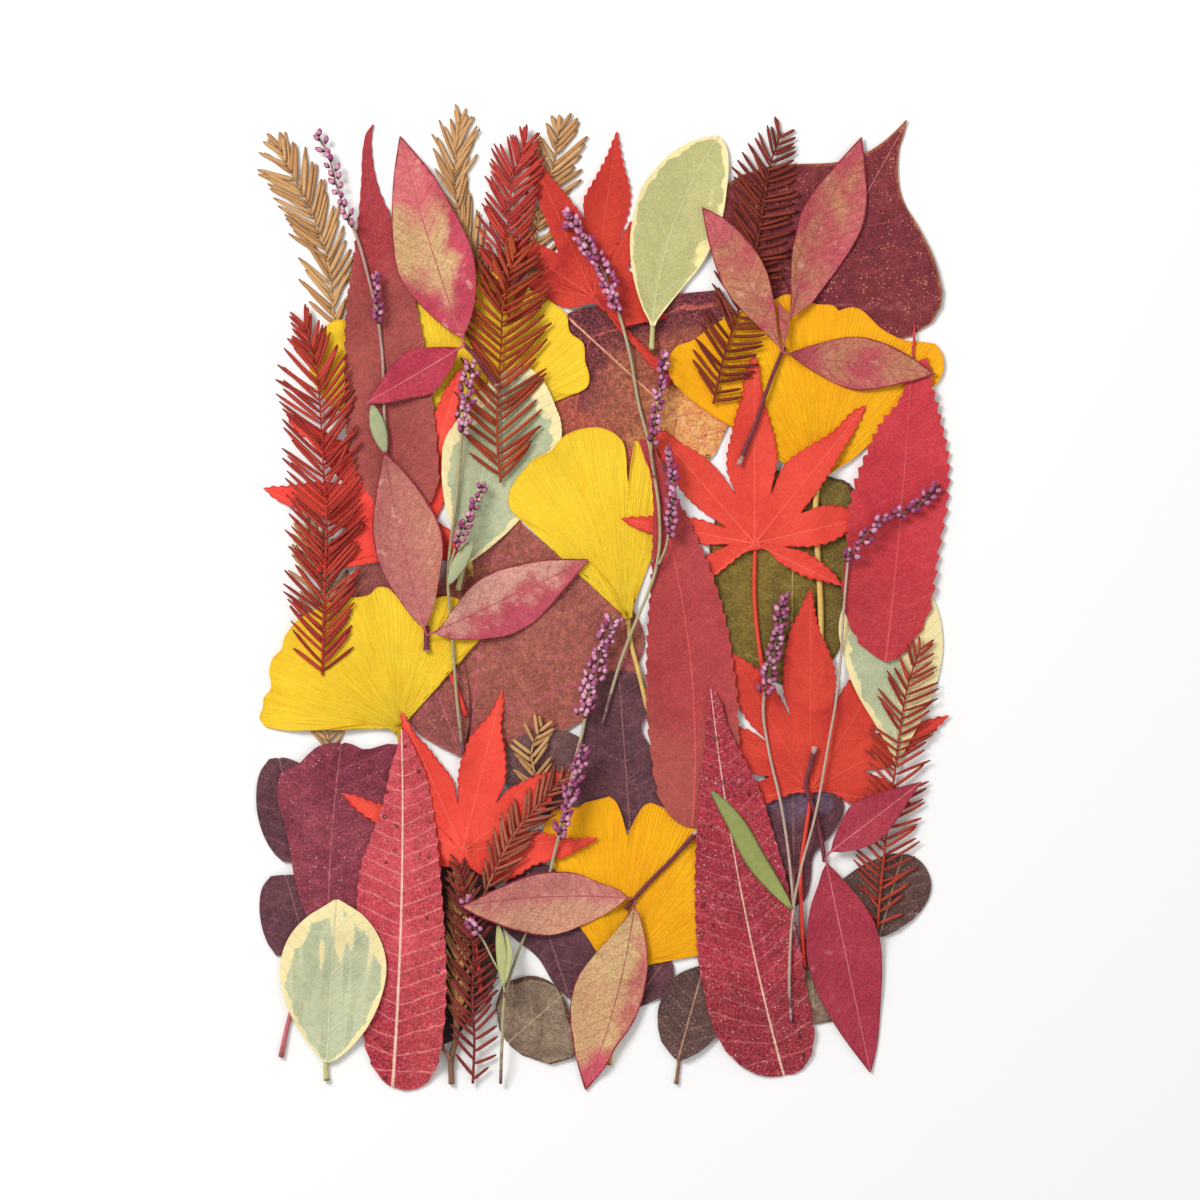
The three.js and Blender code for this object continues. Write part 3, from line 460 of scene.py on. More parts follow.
@dataclass
class Blade:
    """A leaf with one midrib, such as a sumac leaflet: rows follow its side veins.

    Args:
        base: where the midrib starts.
        tip: where it ends.
        bow: how far its middle stands to the left.
        via: places that the midrib passes instead, where it bends more than once.
        slant: the angle between midrib and side veins, in degrees.
        open_base: the same angle at the base, wide on a round-based leaf.
        vein_pitch: the distance between side veins, a whole number of rows.
        teeth: the edge's teeth, if any.
        pinch: how fast the blade may widen from its base, where it joins other leaflets.
        ridge: how high the veins stand.
    """

    base: Point
    tip: Point
    bow: float = 0.0
    via: Sequence[Point] = ()
    slant: float = 58.0
    open_base: float = 100.0
    vein_pitch: float = 5.0
    teeth: Teeth | None = None
    pinch: float = 0.0
    ridge: float = 0.08

    ROW = 1.0
    COLUMN = 1.7
    OPENING = 0.16
    CLOSING = 0.08
    NECK = 0.4
    ARCH = 0.07
    FOLD = 0.12

    def sheet(self, outline: Outline) -> Sheet:
        """Returns the blade fitted to its outline."""
        length = float(np.linalg.norm(np.array(self.tip, float) - np.array(self.base, float)))
        rows = max(12, round(length / self._row()))
        t = np.linspace(0, 1, rows + 1)
        mid = self._midrib(t)
        ahead = unit(np.gradient(mid, axis=0))
        widest = max(outline.reach(mid[rows // 2], s * left_of(ahead[rows // 2])) for s in (1, -1))
        columns = int(np.clip(round(widest / self.COLUMN), 5, 22))
        share = np.concatenate([[0, 0.05], np.linspace(0.05, 1, columns)[1:]])
        left, right = (self._half(outline, mid, share, length, sign) for sign in (1, -1))
        points, across, rim = (np.concatenate([b[:, :0:-1], a], axis=1) for a, b in zip(left, right))
        along = np.broadcast_to((t * length)[:, None], across.shape)
        relief = self._relief(t, along, across, rim)
        return Sheet([Patch(points, np.stack([along, across], axis=-1), rim, relief)])

    def _row(self) -> float:
        """Returns the distance between rows; a whole number of them lies between two side veins."""
        return self.vein_pitch / max(3, round(self.vein_pitch / self.ROW))

    def _midrib(self, t: np.ndarray) -> np.ndarray:
        """Returns the midrib's places at shares t of its length."""
        base, tip = np.array(self.base, float), np.array(self.tip, float)
        if self.via:
            course = resample([self.base, *self.via, self.tip], np.linalg.norm(tip - base) / (len(t) - 1))
            run = np.linspace(0, 1, len(course))
            return np.stack([np.interp(t, run, course[:, 0]), np.interp(t, run, course[:, 1])], axis=-1)
        side = left_of(unit(tip - base))
        return base + (tip - base) * t[:, None] + side * (4 * self.bow * t * (1 - t))[:, None]

    def _half(self, outline: Outline, mid: np.ndarray, share: np.ndarray, length: float,
              sign: int) -> tuple[np.ndarray, np.ndarray, np.ndarray]:
        """Fits one half of the blade to the outline.

        Args:
            outline: the leaf's edge.
            mid: the midrib's place at each row.
            share: where the columns stand between midrib and edge.
            length: the blade's length.
            sign: 1 for the left half, -1 for the right one.

        Returns:
            The half's places, their distance across the midrib and their distance to the edge.
        """
        t = np.linspace(0, 1, len(mid))
        ahead = unit(np.gradient(mid, axis=0))
        opening = np.clip(1 - t / self.OPENING, 0, 1) ** 1.5
        angle = np.radians(self.slant + (self.open_base - self.slant) * opening)
        angle *= np.clip((1 - t) / self.CLOSING, 0.35, 1) ** 0.5
        rays = ahead * np.cos(angle)[:, None] + left_of(ahead) * (sign * np.sin(angle))[:, None]
        reach = np.array([outline.reach(o, d) for o, d in zip(mid, rays)])
        reach[-1] = 0.0
        if self.pinch:
            stem = self.NECK + np.maximum(t * length - 2, 0) * self.pinch
            reach = reach * stem / (reach**4 + stem**4) ** 0.25
        if self.teeth:
            fade = np.clip(np.minimum(t / 0.04, (1 - t) / 0.03), 0, 1) * np.clip(reach / 7, 0.3, 1)
            edge_run = np.cumsum(np.hypot(np.gradient(reach), self._row()))
            reach = reach + self.teeth.out(edge_run + 2.0 * sign) * fade
        run = reach[:, None] * share
        place = mid[:, None] + rays[:, None] * run[..., None]
        arch = self.ARCH * reach[:, None] * (share - share**2) * np.sin(angle)[:, None]
        place = place - ahead[:, None] * arch[..., None]
        return place, run * np.sin(angle)[:, None] * sign, (reach[:, None] - run) * np.sin(angle)[:, None]

    def _relief(self, t: np.ndarray, along: np.ndarray, across: np.ndarray, rim: np.ndarray) -> np.ndarray:
        """Returns the height of the midrib, the side veins and the swelling between them."""
        phase = (along / self.vein_pitch) % 1.0
        inner = np.clip(np.abs(across) / 2.0, 0, 1) * np.clip(rim / 2.0, 0, 1)
        veins = np.clip(1 - 3.2 * np.minimum(phase, 1 - phase), 0, 1) * inner * self.ridge
        swell = np.sin(phase * math.pi) * inner * self.ridge * 1.6
        rib = np.clip(1 - np.abs(across) / 0.7, 0, 1) * self.ridge * 2 * np.clip(1.2 - t[:, None], 0, 1)
        lift = np.clip(np.abs(across) / 6, 0, 1) * self.FOLD
        return veins + swell + rib + lift


@dataclass
class Fan:
    """A ginkgo leaf: fine ridges run from its base to its wavy edge.

    Args:
        base: where the ridges meet.
        stalk_side: the direction in which the petiole leaves, in degrees.
    """

    base: Point
    stalk_side: float

    RIPPLE = 0.035
    RINGS = 26
    STALK_WINDOW = 14.0
    STALK_HALF = 1.4

    def rim_points(self, outline: Outline) -> np.ndarray:
        """Returns the outline without the petiole, starting and ending at the petiole."""
        base = np.array(self.base, float)
        offset = outline.loop - base
        angle = np.degrees(np.arctan2(offset[:, 1], offset[:, 0]))
        away = (angle - self.stalk_side + 180) % 360 - 180
        radius = np.linalg.norm(offset, axis=1)
        across = np.abs(radius * np.sin(np.radians(away)))
        petiole = ((np.abs(away) < self.STALK_WINDOW) & (radius > 4)) | (
            (across < self.STALK_HALF) & (np.abs(away) < 90))
        start = int(np.argmax(np.where(petiole, radius, -1)))
        kept = np.roll(outline.loop, -start, 0)[~np.roll(petiole, -start)]
        return np.concatenate([kept, kept[:1]])

    def sheet(self, outline: Outline) -> Sheet:
        """Returns the fan fitted to its outline."""
        edge = self.rim_points(outline)
        base = np.array(self.base, float)
        rings = np.linspace(0, 1, self.RINGS + 1)[:, None, None] ** 0.85
        points = base + (edge - base)[None] * rings
        offset = points - base
        radius = np.linalg.norm(offset, axis=-1)
        full = np.linalg.norm(edge - base, axis=-1)
        turn = np.unwrap(np.arctan2(edge[:, 1] - base[1], edge[:, 0] - base[0]))
        across = np.broadcast_to(turn * 45.0, radius.shape)
        rim = full[None] - radius
        waves = np.sin(across * 2.1) * 0.5 + np.sin(across * 0.23 + radius * 0.05) * 1.4
        relief = self.RIPPLE * (1 + waves) * np.clip(radius / 12, 0, 1)
        return Sheet([Patch(points, np.stack([radius, across], axis=-1), rim, relief)])


@dataclass
class Star:
    """A maple leaf: pointed, toothed lobes round one centre, each with its own midrib.

    Args:
        centre: where the midribs meet.
        stalk_side: the direction in which the petiole leaves, in degrees.
    """

    centre: Point
    stalk_side: float

    TEETH = Teeth(2.7, 0.75)
    RIDGE = 0.14
    SPOKE_ROWS = 12
    ROW = 0.6
    HALF_COLUMNS = 6
    SLANT = 0.55
    LEAST_LOBE = 12.0
    TIP_WINDOW = 10

    def sheet(self, outline: Outline) -> Sheet:
        """Returns the star fitted to its outline, one patch for each lobe."""
        edge = Fan(self.centre, self.stalk_side).rim_points(outline)
        full = np.linalg.norm(edge - np.array(self.centre), axis=1)
        window = self.TIP_WINDOW
        tips = [i for i in range(3, len(full) - 3) if full[i] > self.LEAST_LOBE
                and full[i] == full[max(0, i - window):i + window + 1].max()]
        sinuses = [int(a + np.argmin(full[a:b])) for a, b in zip([0, *tips], [*tips, len(full) - 1])]
        sinuses[0], sinuses[-1] = 0, len(full) - 1
        toothed = self._toothed(edge, tips, sinuses)
        LOG.info("%s: %d lobes", outline.node, len(tips))
        return Sheet([self._lobe(edge, toothed, sinuses[k], tip, sinuses[k + 1])
                      for k, tip in enumerate(tips)])

    def _lobe(self, edge: np.ndarray, toothed: np.ndarray, first: int, tip: int, last: int) -> Patch:
        """Returns the patch of one lobe, from the centre and between its two notches."""
        centre = np.array(self.centre, float)
        axis = unit(edge[tip] - centre)
        length = float(np.linalg.norm(edge[tip] - centre))
        flanks = [(edge[first:tip + 1], toothed[first:tip + 1]),
                  (edge[tip:last + 1][::-1], toothed[tip:last + 1][::-1])]
        stations = [self._stations(bare - centre, axis, length) for bare, _ in flanks]
        neck = max(1.0, min(stations[0][0], stations[1][0], length * 0.6))
        rows = max(12, round((length - neck) / self.ROW))
        spoke = np.linspace(0, 1, self.SPOKE_ROWS + 1)
        beyond = np.linspace(0, 1, rows + 1)[1:]
        stops = np.concatenate([spoke * neck, neck + beyond * (length - neck)])
        mid = centre + axis * stops[:, None]
        share = np.linspace(0, 1, self.HALF_COLUMNS + 1)
        halves = []
        for (_, shown), station in zip(flanks, stations):
            span = (station - station[0]) / (length - station[0])
            index = np.interp(beyond, span, np.arange(len(span)))
            far = np.stack([np.interp(index, np.arange(len(shown)), shown[:, c]) for c in (0, 1)], -1)
            border = np.concatenate([centre + (shown[0] - centre) * spoke[:, None], far])
            notch = np.concatenate([(1 - spoke) * np.linalg.norm(shown[0] - centre), np.zeros(rows)])
            rays = border - mid
            points = mid[:, None] + rays[:, None] * share[:, None]
            reach = np.linalg.norm(rays, axis=1)
            rim = reach[:, None] * (1 - share) + notch[:, None]
            halves.append((points, points @ left_of(axis) - centre @ left_of(axis), rim))
        points, across, rim = (np.concatenate([halves[0][i][:, ::-1], halves[1][i][:, 1:]], axis=1)
                               for i in range(3))
        both = np.abs(np.concatenate([-share[::-1], share[1:]]))
        along = np.broadcast_to(stops[:, None], across.shape)
        rib = np.clip(1 - np.abs(across) / 0.8, 0, 1) * self.RIDGE * (1 - both) * np.clip(rim / 8, 0, 1)
        swell = 0.1 * np.sin(math.pi * both) * np.clip(rim / 3, 0, 1)
        return Patch(points, np.stack([along, across], axis=-1), rim, rib + swell)

    def _stations(self, flank: np.ndarray, axis: np.ndarray, length: float) -> np.ndarray:
        """Returns, for a flank from notch to tip, where the side vein to each point leaves the midrib."""
        raw = flank @ axis - self.SLANT * np.abs(flank @ left_of(axis))
        rising = np.maximum.accumulate(np.clip(raw, 0.5, length))
        rising = rising + np.linspace(0, 0.5, len(rising))
        rising[-1] = rising[-1].clip(length)
        return rising * length / rising[-1]

    def _toothed(self, edge: np.ndarray, tips: list[int], sinuses: list[int]) -> np.ndarray:
        """Returns the edge with small teeth that point to the lobe tips."""
        steps = np.linalg.norm(np.diff(edge, axis=0, prepend=edge[:1]), axis=1)
        run = np.cumsum(steps)
        out = -left_of(unit(np.gradient(edge, axis=0)))
        depth = np.zeros(len(edge))
        for k, tip in enumerate(tips):
            for a, b, sign in ((sinuses[k], tip, 1), (tip, sinuses[k + 1], -1)):
                span = np.arange(a, b + 1)
                far = sign * (run[span] - run[a if sign > 0 else b])
                fade = np.clip(np.minimum((far - 2) / 6, (far.max() - far) / 3), 0, 1)
                depth[span] = np.maximum(depth[span], self.TEETH.out(far) * fade)
        return edge + out * depth[:, None]


# ------------------------------------------------------------------ shader nodes

class Nodes:
    """Places and joins shader nodes in one tree.

    Args:
        tree: the material's or the group's node tree.
    """

    def __init__(self, tree: bpy.types.NodeTree) -> None:
        self.tree = tree

    def add(self, kind: str, inputs: dict | None = None, **settings: object) -> bpy.types.Node:
        """Adds a node, sets its settings, and fills or joins its inputs."""
        node = self.tree.nodes.new(kind)
        for key, value in settings.items():
            setattr(node, key, value)
        for key, value in (inputs or {}).items():
            if isinstance(value, bpy.types.NodeSocket):
                self.tree.links.new(value, node.inputs[key])
            else:
                node.inputs[key].default_value = value
        return node

    def math(self, operation: str, a: object, b: object = 0.0) -> bpy.types.NodeSocket:
        """Returns the result of an operation on one or two values."""
        return self.add("ShaderNodeMath", {0: a, 1: b}, operation=operation).outputs[0]

    def fade(self, value: object, low: float, high: float) -> bpy.types.NodeSocket:
        """Returns a soft step from 0 at low to 1 at high."""
        node = self.add("ShaderNodeMapRange", {0: value, 1: low, 2: high}, interpolation_type="SMOOTHSTEP")
        return node.outputs[0]

    def mix(self, share: object, under: object, over: object, blend: str = "MIX") -> bpy.types.NodeSocket:
        """Returns one colour laid over another by a share."""
        node = self.add("ShaderNodeMix", {0: share, 6: under, 7: over}, data_type="RGBA", blend_type=blend)
        return node.outputs[2]

    def times(self, a: object, b: object) -> bpy.types.NodeSocket:
        """Returns a product."""
        return self.math("MULTIPLY", a, b)

    def plus(self, a: object, b: object) -> bpy.types.NodeSocket:
        """Returns a sum."""
        return self.math("ADD", a, b)

    def minus(self, a: object, b: object) -> bpy.types.NodeSocket:
        """Returns a difference."""
        return self.math("SUBTRACT", a, b)

    def split(self, vector: object) -> bpy.types.NodeOutputs:
        """Returns a vector's three parts."""
        return self.add("ShaderNodeSeparateXYZ", {0: vector}).outputs

    def attribute(self, name: str) -> bpy.types.NodeSocket:
        """Returns a value that is kept on the vertices."""
        return self.add("ShaderNodeAttribute", attribute_name=name).outputs["Fac"]

    def stretch(self, vector: object, factors: tuple[float, float, float]) -> bpy.types.NodeSocket:
        """Returns a vector with its parts multiplied by three factors."""
        return self.add("ShaderNodeVectorMath", {0: vector, 1: factors}, operation="MULTIPLY").outputs[0]

    def place(self) -> bpy.types.NodeSocket:
        """Returns the place on the object in millimetres."""
        spot = self.add("ShaderNodeTexCoord").outputs["Object"]
        return self.add("ShaderNodeVectorMath", {0: spot, "Scale": 1 / MM}, operation="SCALE").outputs[0]

    def noise(self, place: object, size: float, detail: float = 3.0) -> bpy.types.NodeSocket:
        """Returns noise whose lumps are about size across."""
        inputs = {"Vector": place, "Scale": 1 / size, "Detail": detail}
        return self.add("ShaderNodeTexNoise", inputs).outputs[0]

    def sway(self, place: object, size: float, amount: float, detail: float = 3.0) -> bpy.types.NodeSocket:
        """Returns noise round zero, half the amount up or down at most."""
        return self.times(self.minus(self.noise(place, size, detail), 0.5), amount)

    def cells(self, place: object, density: object) -> tuple[bpy.types.NodeSocket, bpy.types.NodeSocket]:
        """Returns the distance to the middle of the nearest cell, and that cell's own random value."""
        found = self.add("ShaderNodeTexVoronoi", {"Vector": place, "Scale": density}).outputs
        return found["Distance"], self.split(found["Color"])[0]

    def relief(self, height: object, depth: float, strength: float) -> bpy.types.NodeSocket:
        """Returns the normal of a fine relief, its depth given in millimetres."""
        inputs = {"Height": height, "Distance": depth * MM, "Strength": strength}
        return self.add("ShaderNodeBump", inputs).outputs[0]


class Effect(Enum):
    """The effects that several finishes share, each one shader node group."""

    VEINS = "leaf veins"
    SPECKS = "leaf specks"
    MOTTLE = "leaf mottle"
    RINGS = "leaf ring spots"
    RIDGES = "fan ridges"


GROUP_SOCKETS: dict[Effect, tuple[list[tuple[str, str]], list[str]]] = {
    Effect.VEINS: ([("Leaf", "Vector"), ("Place", "Vector"), ("Pitch", "Float"), ("Midrib", "Float")],
                   ["Midrib", "Veins", "Net"]),
    Effect.SPECKS: ([("Place", "Vector"), ("Density", "Float"), ("Share", "Float")], ["Specks"]),
    Effect.MOTTLE: ([("Place", "Vector"), ("Density", "Float")], ["Broad", "Fine", "Grit"]),
    Effect.RINGS: ([("Place", "Vector"), ("Density", "Float"), ("Share", "Float")], ["Ring", "Core"]),
    Effect.RIDGES: ([("Leaf", "Vector")], ["Ridges", "Streaks"]),
}


def effect_group(effect: Effect) -> bpy.types.NodeTree:
    """Returns the node group of an effect, built the first time it is asked for."""
    if found := bpy.data.node_groups.get(effect.value):
        return found
    tree = bpy.data.node_groups.new(effect.value, "ShaderNodeTree")
    taken, given = GROUP_SOCKETS[effect]
    for name, kind in taken:
        tree.interface.new_socket(name, in_out="INPUT", socket_type=f"NodeSocket{kind}")
    for name in given:
        tree.interface.new_socket(name, in_out="OUTPUT", socket_type="NodeSocketFloat")
    nodes = Nodes(tree)
    source = nodes.add("NodeGroupInput").outputs
    nodes.add("NodeGroupOutput", dict(zip(given, EFFECT_BUILDERS[effect](nodes, source))))
    return tree


def build_veins(nodes: Nodes, source: bpy.types.NodeOutputs) -> list[bpy.types.NodeSocket]:
    """Side veins at a pitch along the midrib, the midrib itself, and a fine net between them."""
    leaf = nodes.split(source["Leaf"])
    across = nodes.math("ABSOLUTE", leaf[1])
    taper = nodes.minus(1.15, nodes.times(leaf[0], 0.006))
    half = nodes.times(nodes.times(source["Midrib"], 0.5), taper)
    midrib = nodes.fade(nodes.math("DIVIDE", across, half), 1.25, 0.65)
    sway = nodes.sway(source["Place"], 7.0, 2.2)
    phase = nodes.math("FRACT", nodes.math("DIVIDE", nodes.plus(leaf[0], sway), source["Pitch"]))
    near = nodes.math("MINIMUM", phase, nodes.minus(1.0, phase))
    gap = nodes.times(near, source["Pitch"])
    thin = nodes.plus(nodes.times(across, 0.012), 1.0)
    veins = nodes.fade(nodes.times(gap, thin), 0.4, 0.12)
    gaps = nodes.fade(nodes.noise(source["Place"], 4.0), 0.22, 0.5)
    fork = nodes.add("ShaderNodeTexVoronoi", {"Vector": source["Place"], "Scale": 0.75},
                     feature="DISTANCE_TO_EDGE")
    return [midrib, nodes.times(veins, gaps), nodes.fade(fork.outputs["Distance"], 0.12, 0.02)]


def build_specks(nodes: Nodes, source: bpy.types.NodeOutputs) -> list[bpy.types.NodeSocket]:
    """Fine specks, each its own size, on a share of the cells and closer together in places."""
    distance, luck = nodes.cells(source["Place"], source["Density"])
    clusters = nodes.fade(nodes.noise(source["Place"], 6.0), 0.3, 0.7)
    crowd = nodes.plus(0.5, nodes.times(clusters, 0.8))
    spare = nodes.minus(nodes.times(source["Share"], crowd), luck)
    size = nodes.times(nodes.math("MAXIMUM", spare, 0.0), 0.36)
    return [nodes.fade(nodes.minus(size, distance), -0.06, 0.1)]


def build_mottle(nodes: Nodes, source: bpy.types.NodeOutputs) -> list[bpy.types.NodeSocket]:
    """Broad clouds, fine clouds and a grit finer still."""
    broad = nodes.add("ShaderNodeTexNoise", {"Vector": source["Place"], "Scale": source["Density"],
                                             "Detail": 3.0, "Distortion": 0.4})
    fine = nodes.add("ShaderNodeTexNoise", {"Vector": source["Place"], "Detail": 4.0,
                                            "Scale": nodes.times(source["Density"], 6.0)})
    grit = nodes.noise(source["Place"], 0.75, 4.0)
    return [nodes.fade(broad.outputs[0], 0.36, 0.64), nodes.fade(fine.outputs[0], 0.36, 0.66),
            nodes.fade(grit, 0.28, 0.72)]


def build_rings(nodes: Nodes, source: bpy.types.NodeOutputs) -> list[bpy.types.NodeSocket]:
    """Scattered blotches with a dark ring round a paler core."""
    warp = nodes.add("ShaderNodeTexNoise", {"Vector": source["Place"], "Scale": 0.7, "Detail": 2.0})
    bent = nodes.add("ShaderNodeVectorMath", {0: source["Place"], 1: warp.outputs["Color"]}, operation="ADD")
    distance, luck = nodes.cells(bent.outputs[0], source["Density"])
    spare = nodes.math("MAXIMUM", nodes.minus(source["Share"], luck), 0.0)
    size = nodes.math("MINIMUM", nodes.times(spare, 1.6), 0.2)
    over = nodes.minus(size, distance)
    core = nodes.fade(over, 0.05, 0.09)
    return [nodes.minus(nodes.fade(over, -0.06, -0.02), core), core]


def build_ridges(nodes: Nodes, source: bpy.types.NodeOutputs) -> list[bpy.types.NodeSocket]:
    """Fine ridges that run out from a fan's base, and broader streaks along them."""
    stretch = nodes.stretch(source["Leaf"], (0.02, 1.0, 1.0))
    fine = nodes.add("ShaderNodeTexNoise", {"Vector": stretch, "Scale": 1.9, "Detail": 2.0})
    broad = nodes.add("ShaderNodeTexNoise", {"Vector": stretch, "Scale": 0.35, "Detail": 3.0})
    return [nodes.fade(fine.outputs[0], 0.36, 0.64), nodes.fade(broad.outputs[0], 0.38, 0.66)]


EFFECT_BUILDERS: dict[Effect, Callable[[Nodes, bpy.types.NodeOutputs], list[bpy.types.NodeSocket]]] = {
    Effect.VEINS: build_veins,
    Effect.SPECKS: build_specks,
    Effect.MOTTLE: build_mottle,
    Effect.RINGS: build_rings,
    Effect.RIDGES: build_ridges,
}


def place_effect(nodes: Nodes, effect: Effect, inputs: dict) -> bpy.types.NodeOutputs:
    """Adds an effect's group to a material and returns its outputs."""
    return nodes.add("ShaderNodeGroup", inputs, node_tree=effect_group(effect)).outputs


def new_material(name: str, roughness: float) -> tuple[bpy.types.Material, Nodes, bpy.types.Node]:
    """Makes a material with one Principled shader.

    Args:
        name: the material's name.
        roughness: its roughness, also the plain view's.

    Returns:
        The material, its nodes and its shader.
    """
    material = bpy.data.materials.new(name)
    material.use_nodes = True
    nodes = Nodes(material.node_tree)
    shader = material.node_tree.nodes["Principled BSDF"]
    shader.inputs["Roughness"].default_value = roughness
    shader.inputs["Specular IOR Level"].default_value = 0.15
    return material, nodes, shader


# ------------------------------------------------------------------ finishes

@dataclass(frozen=True)
class Blend:
    """A second colour that takes over part of a leaf.

    Args:
        colour: the colour.
        start: where it starts, in millimetres along the leaf, or across it if across is set.
        end: where it is full; it may lie before the start.
        across: whether it goes by the distance across the midrib instead.
        strength: its full share.
    """

    colour: Colour
    start: float
    end: float
    across: bool = False
    strength: float = 1.0


@dataclass(frozen=True)
class LeafFinish:
    """The colours and relief of one leaf.

    Args:
        name: the finish's name.
        ground: the main colour.
        mottle: the colour of the clouds on it.
        mottle_density: how many clouds a millimetre holds.
        mottle_strength: their share.
        blends: colours that take over part of the leaf, in order.
        vein: the side veins' colour.
        vein_strength: their share.
        net_strength: the share of the fine net between them.
        midrib: the midrib's colour.
        midrib_width: its width.
        rim: the edge's colour.
        rim_width: how far the edge's colour reaches in, or 0.
        streak_share: the share of the blade that streaks of the edge's colour take.
        grain: the strength of the finest clouds.
        specks: the specks' colour.
        speck_density: how many speck cells a millimetre holds.
        speck_share: the share of cells with a speck.
        rings: the ring spots' colour.
        ring_core: the colour inside them.
        ring_density: how many spot cells a millimetre holds.
        ring_share: the share of cells with a spot.
        painted_sheen: the colour of pale patches of painted sheen, which stand in for the leaf's satin shine.
        painted_sheen_share: how much of the blade the painted sheen patches take, or 0.
        fan: whether ridges run out from the base instead of side veins.
        roughness: the surface's roughness.
        relief: the depth of the fine relief, in millimetres.
    """

    name: str
    ground: Colour
    mottle: Colour
    mottle_density: float = 0.05
    mottle_strength: float = 0.6
    blends: tuple[Blend, ...] = ()
    vein: Colour = (230, 130, 130)
    vein_strength: float = 0.45
    net_strength: float = 0.12
    midrib: Colour = (240, 205, 180)
    midrib_width: float = 0.8
    rim: Colour = (120, 40, 40)
    rim_width: float = 0.0
    streak_share: float = 0.0
    grain: float = 0.35
    specks: Colour = (240, 200, 190)
    speck_density: float = 0.5
    speck_share: float = 0.0
    rings: Colour = (90, 20, 35)
    ring_core: Colour = (190, 90, 70)
    ring_density: float = 0.12
    ring_share: float = 0.0
    painted_sheen: Colour = (220, 160, 140)
    painted_sheen_share: float = 0.0
    fan: bool = False
    roughness: float = 0.62
    relief: float = 0.12

    STREAK_HALO: ClassVar[Colour] = (200, 204, 168)

    def material(self, pitch: float) -> bpy.types.Material:
        """Makes the finish for a leaf.

        Args:
            pitch: the distance between its side veins.

        Returns:
            The material.
        """
        material, nodes, shader = new_material(self.name, self.roughness)
        place = nodes.place()
        leaf = nodes.add("ShaderNodeUVMap", uv_map="leaf").outputs[0]
        clouds = place_effect(nodes, Effect.MOTTLE, {"Place": place, "Density": self.mottle_density})
        colour = self._rim(nodes, leaf, place, self._ground(nodes, leaf, place, clouds["Broad"]))
        if self.fan:
            colour, height = self._fan(nodes, leaf, colour)
        else:
            colour, height = self._veined(nodes, leaf, place, pitch, colour)
        colour = nodes.mix(self.grain * 0.5, colour, clouds["Fine"], "OVERLAY")
        colour = nodes.mix(self.grain, colour, clouds["Grit"], "OVERLAY")
        colour = self._spots(nodes, place, colour)
        nodes.tree.links.new(colour, shader.inputs["Base Color"])
        sheen = nodes.plus(self.roughness - 0.06, nodes.times(clouds["Fine"], 0.14))
        nodes.tree.links.new(sheen, shader.inputs["Roughness"])
        total = nodes.plus(height, nodes.times(nodes.noise(place, 0.7), 0.5))
        nodes.tree.links.new(nodes.relief(total, self.relief, 0.8), shader.inputs["Normal"])
        return material

    def _ground(self, nodes: Nodes, leaf: object, place: object, broad: object) -> object:
        """Lays clouds, blended parts and painted sheen (pale patches that stand in for the leaf's shine) over the
        ground's colour.
        """
        along, across, _ = nodes.split(leaf)
        share = nodes.times(broad, self.mottle_strength)
        colour: object = nodes.mix(share, linear(self.ground), linear(self.mottle))
        wander = nodes.sway(place, 9.0, 22.0)
        for blend in self.blends:
            where = nodes.plus(across if blend.across else along, wander)
            share = nodes.times(nodes.fade(where, blend.start, blend.end), blend.strength)
            colour = nodes.mix(share, colour, linear(blend.colour))
        # Pale cloudy patches laid here are painted sheen: they stand in for the satin shine of the leaf, not for
        # a colour of its own.
        if self.painted_sheen_share:
            start = 0.68 - self.painted_sheen_share * 0.3
            painted_sheen = nodes.times(nodes.fade(nodes.noise(place, 3.6, 5.0), start, start + 0.16), 0.75)
            colour = nodes.mix(painted_sheen, colour, linear(self.painted_sheen))
        return colour

    def _spots(self, nodes: Nodes, place: object, colour: object) -> object:
        """Lays specks, and ringed spots near the edge, over the colour."""
        if self.speck_share:
            specks = place_effect(nodes, Effect.SPECKS, {
                "Place": place, "Density": self.speck_density, "Share": self.speck_share})["Specks"]
            colour = nodes.mix(nodes.times(specks, 0.7), colour, linear(self.specks))
        if self.ring_share:
            spots = place_effect(nodes, Effect.RINGS, {
                "Place": place, "Density": self.ring_density, "Share": self.ring_share})
            near = nodes.times(nodes.fade(nodes.attribute("rim"), 11.0, 5.0), 0.8)
            colour = nodes.mix(nodes.times(spots["Ring"], near), colour, linear(self.rings))
            colour = nodes.mix(nodes.times(spots["Core"], near), colour, linear(self.ring_core))
        return colour

    def _rim(self, nodes: Nodes, leaf: object, place: object, colour: object) -> object:
        """Lays the edge's colour, and streaks of it, over the ground."""
        if self.streak_share:
            drift = nodes.noise(nodes.stretch(leaf, (0.035, 0.22, 1.0)), 1.0, 1.0)
            start = 0.66 - self.streak_share * 0.2
            upper = nodes.times(nodes.fade(nodes.split(leaf)[0], 14.0, 24.0), 0.9)
            band = nodes.times(nodes.fade(drift, start, start + 0.02), upper)
            colour = nodes.mix(nodes.times(nodes.fade(drift, start - 0.09, start - 0.07), 0.55),
                               colour, linear(self.STREAK_HALO))
            colour = nodes.mix(band, colour, linear(self.rim))
        if not self.rim_width:
            return colour
        ragged = nodes.plus(nodes.attribute("rim"), nodes.sway(place, 4.5, self.rim_width * 2.2, 2.0))
        share = nodes.fade(ragged, self.rim_width, self.rim_width * 0.75)
        return nodes.mix(share, colour, linear(self.rim))

